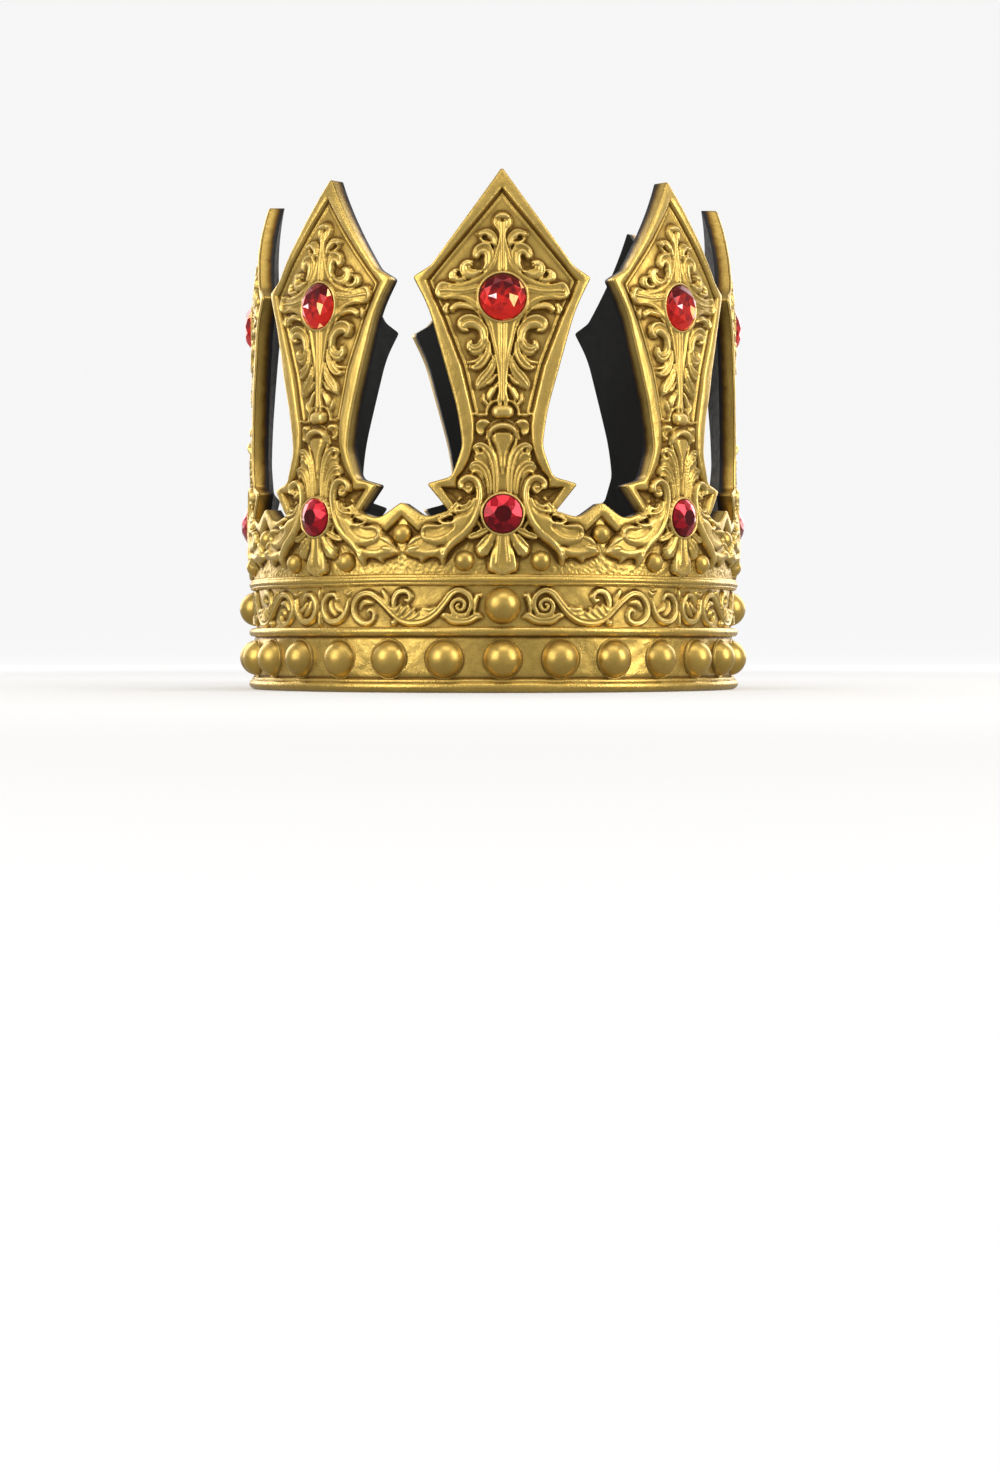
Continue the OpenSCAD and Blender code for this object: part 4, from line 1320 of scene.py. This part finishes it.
def gold_material(name, colours, wash_and_shade, wear_and_highlight, rough, crinkle, bump):
    """Antique gold paint on the black moulding; the hollows are washed brown, which also paints shade into
    them, the raised edges are lighter as rubbed wear and as a painted highlight, and the inside is bare.
    """
    found = bpy.data.materials.get(name)
    if found:
        return found
    material, tree, shader = shader_material(name)
    hollow = add_node(tree, "ShaderNodeAttribute", attribute_name="hollow").outputs["Fac"]
    washed_and_shaded = place_group(
        tree, "hollow_wash_and_shade", wash_and_shade_group, Color=colours.gold, Worn_Color=colours.worn_and_highlight, Wash_Color=colours.wash_and_shade,
        Hollow=hollow, Wash=wash_and_shade, Wear=wear_and_highlight)
    skin = place_group(
        tree, "paint_skin", skin_group, Color=washed_and_shaded["Color"], Patches=0.10, Fleck=0.10, Rough=rough,
        Crinkle=crinkle)
    edge, inner = (
        place_group(tree, "painted_depth", depth_group, Bare_Radius=bare, Painted_Radius=painted)
        for bare, painted in (PAINTED_FROM, WASHED_FROM))
    faded = mixed(tree, edge["Painted"], colours.wash_and_shade, skin["Color"])
    tree.links.new(mixed(tree, inner["Painted"], colours.inside, faded), shader.inputs["Base Color"])
    tree.links.new(ranged(tree, inner["Painted"], 0.0, 1.0, 0.0, 0.86), shader.inputs["Metallic"])
    outer_rough = maths(tree, "ADD", skin["Roughness"], maths(tree, "MULTIPLY", washed_and_shaded["Wash Mask"], 0.2))
    bare_rough = maths(tree, "MULTIPLY", maths(tree, "SUBTRACT", 1.0, inner["Painted"]), 0.2)
    tree.links.new(maths(tree, "ADD", outer_rough, bare_rough), shader.inputs["Roughness"])
    strength = ranged(tree, inner["Painted"], 0.0, 1.0, 0.02, 1.0)
    relief = add_node(tree, "ShaderNodeBump", {
        "Height": skin["Height"], "Strength": strength, "Distance": bump})
    tree.links.new(relief.outputs["Normal"], shader.inputs["Normal"])
    shader.inputs["Specular IOR Level"].default_value = 0.25
    return material


def carved_gold(colours):
    """Paint on the carved faces."""
    return gold_material("carved_gold", colours, wash_and_shade=0.9, wear_and_highlight=0.75, rough=0.34, crinkle=0.8, bump=0.00020)


def turned_gold(colours):
    """Paint on the smooth beads of the ring."""
    return gold_material("turned_gold", colours, wash_and_shade=0.85, wear_and_highlight=0.5, rough=0.31, crinkle=0.75, bump=0.00022)


def polished_gold(colours):
    """Paint on the balls, smoother than the rest."""
    return gold_material("polished_gold", colours, wash_and_shade=0.8, wear_and_highlight=0.4, rough=0.35, crinkle=0.25, bump=0.00008)


def stone_material(name, colours, body, depth, glow):
    """Clear red stone over foil, with its facets' light painted into its colour and into a glow from
    emission.
    """
    material, tree, shader = shader_material(name)
    tone = add_node(tree, "ShaderNodeAttribute", attribute_name="tone").outputs["Fac"]
    foil = place_group(
        tree, "foil_facets", foil_group, Color=body, Deep_Color=colours.deep_red, Glint_Color=colours.glint,
        Spark_Color=colours.spark, Tone=tone, Depth=depth, Body_Glow=glow)
    tree.links.new(foil["Color"], shader.inputs["Base Color"])
    # Painted glow: the stones give light from emission though they are no lamp
    tree.links.new(foil["Glow"], shader.inputs["Emission Color"])
    shader.inputs["Emission Strength"].default_value = 0.8
    shader.inputs["Metallic"].default_value = 0.65
    shader.inputs["Roughness"].default_value = 0.14
    shader.inputs["Specular IOR Level"].default_value = 0.3
    shader.inputs["Coat Weight"].default_value = 0.3
    shader.inputs["Coat Roughness"].default_value = 0.03
    shader.inputs["Coat IOR"].default_value = 1.5
    return material


# Operators, one for each piece or group of like pieces

class CROWN_OT_stage(bpy.types.Operator):
    """Set up the camera, the softboxes and the pale sweep"""

    bl_idname = "crown.stage"
    bl_label = "Build Stage"

    def execute(self, context):
        settings = context.scene.crown_stage
        self.add_camera(context.scene, settings)
        self.add_sweep(settings)
        lamps = [
            Lamp("softbox_right", settings.key_power, 60, 19, 1.25, 0.55, 0.95),
            Lamp("softbox_left", settings.fill_power, -50, 12, 1.25, 0.8, 1.3),
            Lamp("overhead", settings.top_power, 10, 62, 1.4, 1.2, 0.7),
            Lamp("rim_light_right", settings.rim_power, 138, 20, 1.4, 0.8, 1.1),
            Lamp("rim_light_left", settings.rim_power, -138, 20, 1.4, 0.8, 1.1),
        ]
        for lamp in lamps:
            self.add_lamp(lamp)
        self.add_world(context.scene)
        context.scene.view_settings.view_transform = "Standard"
        return {"FINISHED"}

    def add_world(self, scene):
        """A dim room for the reflections that looks pale to the camera."""
        world = bpy.data.worlds.new("studio")
        scene.world = world
        world.use_nodes = True
        tree = world.node_tree
        seen = add_node(tree, "ShaderNodeLightPath").outputs["Is Camera Ray"]
        background = tree.nodes["Background"]
        tree.links.new(mixed(tree, seen, (1.0, 0.93, 0.84, 1), (1, 1, 1, 1)), background.inputs["Color"])
        tree.links.new(ranged(tree, seen, 0.0, 1.0, ROOM_GLOW[1], 1.0), background.inputs["Strength"])

    def add_camera(self, scene, settings):
        """The camera at the photograph's angle, its picture shifted so that the crown stands high in it."""
        focal_px, long_side = 2561.0, 1471.0
        rise_px, side_px, sensor = 91.6, 6.5, 36.0
        data = bpy.data.cameras.new("camera")
        data.sensor_width = sensor
        data.lens = focal_px / long_side * sensor
        data.shift_x = side_px / long_side
        data.shift_y = -rise_px / long_side
        data.clip_start = 0.05
        camera = bpy.data.objects.new("camera", data)
        camera.location = (settings.distance * math.sin(settings.azimuth),
                           -settings.distance * math.cos(settings.azimuth), settings.height)
        camera.rotation_euler = (math.pi / 2, 0, settings.azimuth)
        scene.collection.objects.link(camera)
        scene.camera = camera

    def add_sweep(self, settings):
        """A round floor whose edge curves up into the backdrop all the way round."""
        radius, bend, wall = 2.6, 0.7, 2.4
        section = [(0.0, 0.0), (radius * 0.5, 0.0)]
        section += [(radius + bend * math.sin(a), bend * (1 - math.cos(a)))
                    for a in np.linspace(0, math.pi / 2, 13)]
        section += [(radius + bend, bend + wall)]
        sides = 96
        points = [(r * math.sin(2 * math.pi * i / sides), r * math.cos(2 * math.pi * i / sides), z)
                  for r, z in section[1:] for i in range(sides)] + [(0, 0, 0)]
        centre = len(points) - 1
        faces = [((i + 1) % sides, i, centre) for i in range(sides)]
        for ring in range(len(section) - 2):
            low, high = ring * sides, (ring + 1) * sides
            faces += [(low + i, low + (i + 1) % sides, high + (i + 1) % sides, high + i)
                      for i in range(sides)]
        mesh = bpy.data.meshes.new("sweep")
        mesh.from_pydata(points, [], faces)
        mesh.shade_smooth()
        sweep = bpy.data.objects.new("sweep", mesh)
        bpy.context.scene.collection.objects.link(sweep)
        material, tree, shader = shader_material("pale_sweep")
        seen = add_node(tree, "ShaderNodeLightPath").outputs["Is Camera Ray"]
        place = add_node(tree, "ShaderNodeTexCoord").outputs["Object"]
        up = add_node(tree, "ShaderNodeSeparateXYZ", {0: place}).outputs["Z"]
        away = add_node(tree, "ShaderNodeVectorMath", {0: place}, operation="LENGTH").outputs["Value"]
        far = ranged(tree, away, 0.25, 1.3)
        floor = mixed(tree, far, settings.backdrop, (0, 0, 0, 1))
        tree.links.new(mixed(tree, seen, (0.24, 0.24, 0.24, 1), floor), shader.inputs["Base Color"])
        shader.inputs["Emission Color"].default_value = (1, 1, 1, 1)
        for_camera = maths(tree, "MULTIPLY", seen, ranged(tree, far, 0.0, 1.0, 0.22, 0.92))
        unseen = maths(tree, "SUBTRACT", 1.0, seen)
        for_crown = maths(tree, "MULTIPLY", unseen, ranged(tree, up, 0.0, 0.6, *ROOM_GLOW))
        tree.links.new(maths(tree, "ADD", for_camera, for_crown), shader.inputs["Emission Strength"])
        shader.inputs["Roughness"].default_value = 0.9
        shader.inputs["Specular IOR Level"].default_value = 0.2
        mesh.materials.append(material)

    def add_lamp(self, lamp):
        """A softbox that faces the crown's middle."""
        middle = Vector((0, 0, 0.09))
        turn, tilt = math.radians(lamp.azimuth), math.radians(lamp.elevation)
        away = Vector((math.sin(turn) * math.cos(tilt), -math.cos(turn) * math.cos(tilt), math.sin(tilt)))
        data = bpy.data.lights.new(lamp.name, "AREA")
        data.shape = "RECTANGLE"
        data.size, data.size_y = lamp.width, lamp.height
        data.energy = lamp.power
        softbox = bpy.data.objects.new(lamp.name, data)
        softbox.location = middle + away * lamp.distance
        softbox.rotation_euler = away.to_track_quat("Z", "Y").to_euler()
        softbox.visible_camera = False
        bpy.context.scene.collection.objects.link(softbox)


class CROWN_OT_ring(bpy.types.Operator):
    """Build the rim with its beads, the bore wall and the triple bead above the frieze"""

    bl_idname = "crown.ring"
    bl_label = "Build Ring"

    def execute(self, context):
        sizes, colours = context.scene.crown_sizes, context.scene.crown_colours
        up = np.concatenate([
            np.linspace(0.35, 5.4, 22), np.linspace(6.2, 20.2, 14), np.linspace(20.6, RIM_TOP, 16)])
        hollow_field = -0.35 * np.exp(-((up - 20.8) / 0.5) ** 2) - 0.25 * np.exp(-((up - 5.3) / 0.5) ** 2)
        out = np.maximum(beads_out(up, RIM_BEADS, -9), hollow_field)
        rest_out = [RIM_SHELF, RIM_SHELF] + [BORE_OUT] * 5 + [BORE_OUT + 0.5, -1.0, out[0] - 0.3]
        rest_up = [RIM_TOP + 0.3, SPIRE_FOOT, SPIRE_FOOT, SPIRE_FOOT - 0.1, 24.0, 1.1, 0.5, 0.0, 0.0, 0.05]
        turned_piece("ring_rim", sizes, np.concatenate([out, rest_out]), np.concatenate([up, rest_up]),
                     turned_gold(colours), dented=STUD_FIELD)
        up = np.linspace(*FASCIA, 26)
        out = np.maximum(beads_out(up, UPPER_BEADS, -9), FASCIA_OUT)
        out[0], out[-1] = FASCIA_OUT - 0.25, FASCIA_OUT - 0.25
        turned_piece("triple_bead", sizes, np.concatenate([out, [-1.4, -1.4]]),
                     np.concatenate([up, [FASCIA[1], FASCIA[0]]]), turned_gold(colours), ripple=0.12)
        return {"FINISHED"}


class CROWN_OT_frieze(bpy.types.Operator):
    """Build the carved scroll frieze"""

    bl_idname = "crown.frieze"
    bl_label = "Build Frieze"

    def execute(self, context):
        sizes, colours = context.scene.crown_sizes, context.scene.crown_colours
        step = sizes.frieze_step / MM
        columns = round(MIRROR / step)
        across = np.linspace(0, MIRROR, columns, endpoint=False)
        there = MIRROR - across
        up = np.linspace(FRIEZE_LOW, FRIEZE_HIGH, round((FRIEZE_HIGH - FRIEZE_LOW) / step))
        hollow_of = hollows(frieze_height, (0.0, FRIEZE_LOW), (MIRROR, FRIEZE_HIGH))
        rows_out, rows_hollow = [], []
        for values in (across, there):
            places = np.stack(np.meshgrid(values, up), -1).reshape(-1, 2)
            rows_out.append(frieze_height(places).reshape(len(up), columns))
            rows_hollow.append(hollow_of(places).reshape(len(up), columns))
        out = np.tile(np.hstack(rows_out), (1, FRIEZE_BALLS))
        hollow = np.tile(np.hstack(rows_hollow), (1, FRIEZE_BALLS))
        all_across = np.arange(out.shape[1]) * (2 * math.pi * WALL_R / out.shape[1])
        spots = on_wall(np.tile(all_across, len(up)), np.repeat(up, len(all_across)), out.ravel()) / MM
        open_ground = np.clip(1 - (out - FRIEZE_GROUND) / 0.3, 0, 1)
        out += (waves(spots, 14, 2) * sizes.wobble / MM).reshape(out.shape)
        crumples = (waves(spots * (1, 1, 0.7), 6, 8) * sizes.crinkle_depth / MM).reshape(out.shape)
        out += crumples * open_ground
        steps = out.shape[1]
        out = np.vstack([out, np.full((2, steps), FRIEZE_BACK)])
        hollow = np.vstack([hollow, np.zeros((2, steps))])
        up = np.concatenate([up, [FRIEZE_HIGH, FRIEZE_LOW]])
        points, faces = wrapped_grid(all_across, out, up)
        lengths = section_lengths(np.concatenate([np.zeros(len(up) - 2), [FRIEZE_BACK] * 2]), up)
        places = wrapped_bake_places(faces, steps, len(up), lengths)
        dense_piece("scroll_frieze", points, faces, carved_gold(colours), hollow.ravel(), places)
        return {"FINISHED"}


class CROWN_OT_spires(bpy.types.Operator):
    """Build the eight carved spires, each with its share of the hammered band"""

    bl_idname = "crown.spires"
    bl_label = "Build Spires"

    def execute(self, context):
        sizes, colours = context.scene.crown_sizes, context.scene.crown_colours
        material = carved_gold(colours)
        points, out, faces, places, sharp = spire_mesh(sizes)
        outline = spire_outline()
        edge_round = sizes.edge_round / MM
        rim = face_rim(outline, 2.0)[1]
        hollow_of = hollows(
            lambda spots: spire_height(spots, outline, edge_round), (0.0, SPIRE_FOOT), (SEAM, TIP_Z),
            outside=lambda spots: ~inside_outline(spots, rim))
        front = out > -2.0
        hollow = np.where(front, hollow_of(points), 0.0)
        half = np.abs(points)
        low, high = CRUMPLED
        ground = front & (np.abs(out) < 0.25) & (half[:, 1] > low) & (half[:, 1] < high)
        for number in range(SPIRES):
            across = points[:, 0] + number * SECTOR
            spots = on_wall(across, points[:, 1], out) / MM
            moved = out + np.where(front, waves(spots, 14, 2) * sizes.wobble / MM, 0)
            moved = moved + np.where(ground, crinkled(spots) * sizes.crinkle_depth / MM, 0)
            dense_piece(
                f"spire_{number + 1}", on_wall(across, points[:, 1], moved), faces, material, hollow,
                places, sharp)
        return {"FINISHED"}


class CROWN_OT_balls(bpy.types.Operator):
    """Build the studs, the frieze balls and the small balls of the band"""

    bl_idname = "crown.balls"
    bl_label = "Build Balls"

    def execute(self, context):
        sizes, colours = context.scene.crown_sizes, context.scene.crown_colours
        material = polished_gold(colours)

        def turns(count):
            return [2 * math.pi * i / count for i in range(count)]

        balls_piece("studs", STUD, turns(STUDS), sizes, material)
        balls_piece("frieze_balls", FRIEZE_BALL, turns(FRIEZE_BALLS), sizes, material)
        balls_piece("merlon_balls", MERLON_BALL, turns(SPIRES), sizes, material)
        left_ball = SIDE_BALL._replace(across=-SIDE_BALL.across)
        balls_piece("right_side_balls", SIDE_BALL, turns(SPIRES), sizes, material)
        balls_piece("left_side_balls", left_ball, turns(SPIRES), sizes, material)
        return {"FINISHED"}


class CROWN_OT_stones(bpy.types.Operator):
    """Cut the sixteen red stones and set them on their seats"""

    bl_idname = "crown.stones"
    bl_label = "Build Stones"

    def execute(self, context):
        sizes, colours = context.scene.crown_sizes, context.scene.crown_colours
        # Each stone's painted glow and the mottling of its painted facet light
        upper = stone_material("red_stone_upper", colours, colours.red, depth=0.9, glow=0.30)
        lower = stone_material("red_stone_lower", colours, colours.crimson, depth=0.5, glow=0.10)
        for number in range(SPIRES):
            turn = 2 * math.pi * number / SPIRES
            cut_stone(
                f"upper_cut_{number + 1}", UPPER_STONE, turn, sizes.stone_cuts, UPPER_TABLE, upper_painted_light,
                upper, f"upper_stone_{number + 1}", seed=number + 20)
            cut_stone(
                f"lower_cut_{number + 1}", LOWER_STONE, turn, sizes.stone_cuts + 1, LOWER_TABLE, lower_painted_light,
                lower, f"lower_stone_{number + 1}", seed=number + 40)
        return {"FINISHED"}


class CROWN_PT_panel(bpy.types.Panel):
    """Lists the crown's sizes and operators"""

    bl_label = "Costume Crown"
    bl_idname = "CROWN_PT_panel"
    bl_space_type = "VIEW_3D"
    bl_region_type = "UI"
    bl_category = "Crown"

    def draw(self, context):
        for group in (context.scene.crown_sizes, context.scene.crown_colours, context.scene.crown_stage):
            box = self.layout.box()
            for name in group.__annotations__:
                box.prop(group, name)
        for operator in OPERATORS:
            self.layout.operator(operator.bl_idname)


OPERATORS = (
    CROWN_OT_stage, CROWN_OT_ring, CROWN_OT_frieze, CROWN_OT_spires, CROWN_OT_balls, CROWN_OT_stones)
CLASSES = (CrownSizes, CrownColours, CrownStage) + OPERATORS + (CROWN_PT_panel,)


def register():
    """Adds the classes and their settings to Blender."""
    for made in CLASSES:
        bpy.utils.register_class(made)
    bpy.types.Scene.crown_sizes = bpy.props.PointerProperty(type=CrownSizes)
    bpy.types.Scene.crown_colours = bpy.props.PointerProperty(type=CrownColours)
    bpy.types.Scene.crown_stage = bpy.props.PointerProperty(type=CrownStage)


def unregister():
    """Takes the classes and their settings away again."""
    del bpy.types.Scene.crown_sizes
    del bpy.types.Scene.crown_colours
    del bpy.types.Scene.crown_stage
    for made in reversed(CLASSES):
        bpy.utils.unregister_class(made)


def main():
    """Builds the whole crown."""
    register()
    bpy.ops.crown.stage()
    bpy.ops.crown.ring()
    bpy.ops.crown.frieze()
    bpy.ops.crown.spires()
    bpy.ops.crown.balls()
    bpy.ops.crown.stones()


if __name__ == "__main__":
    main()
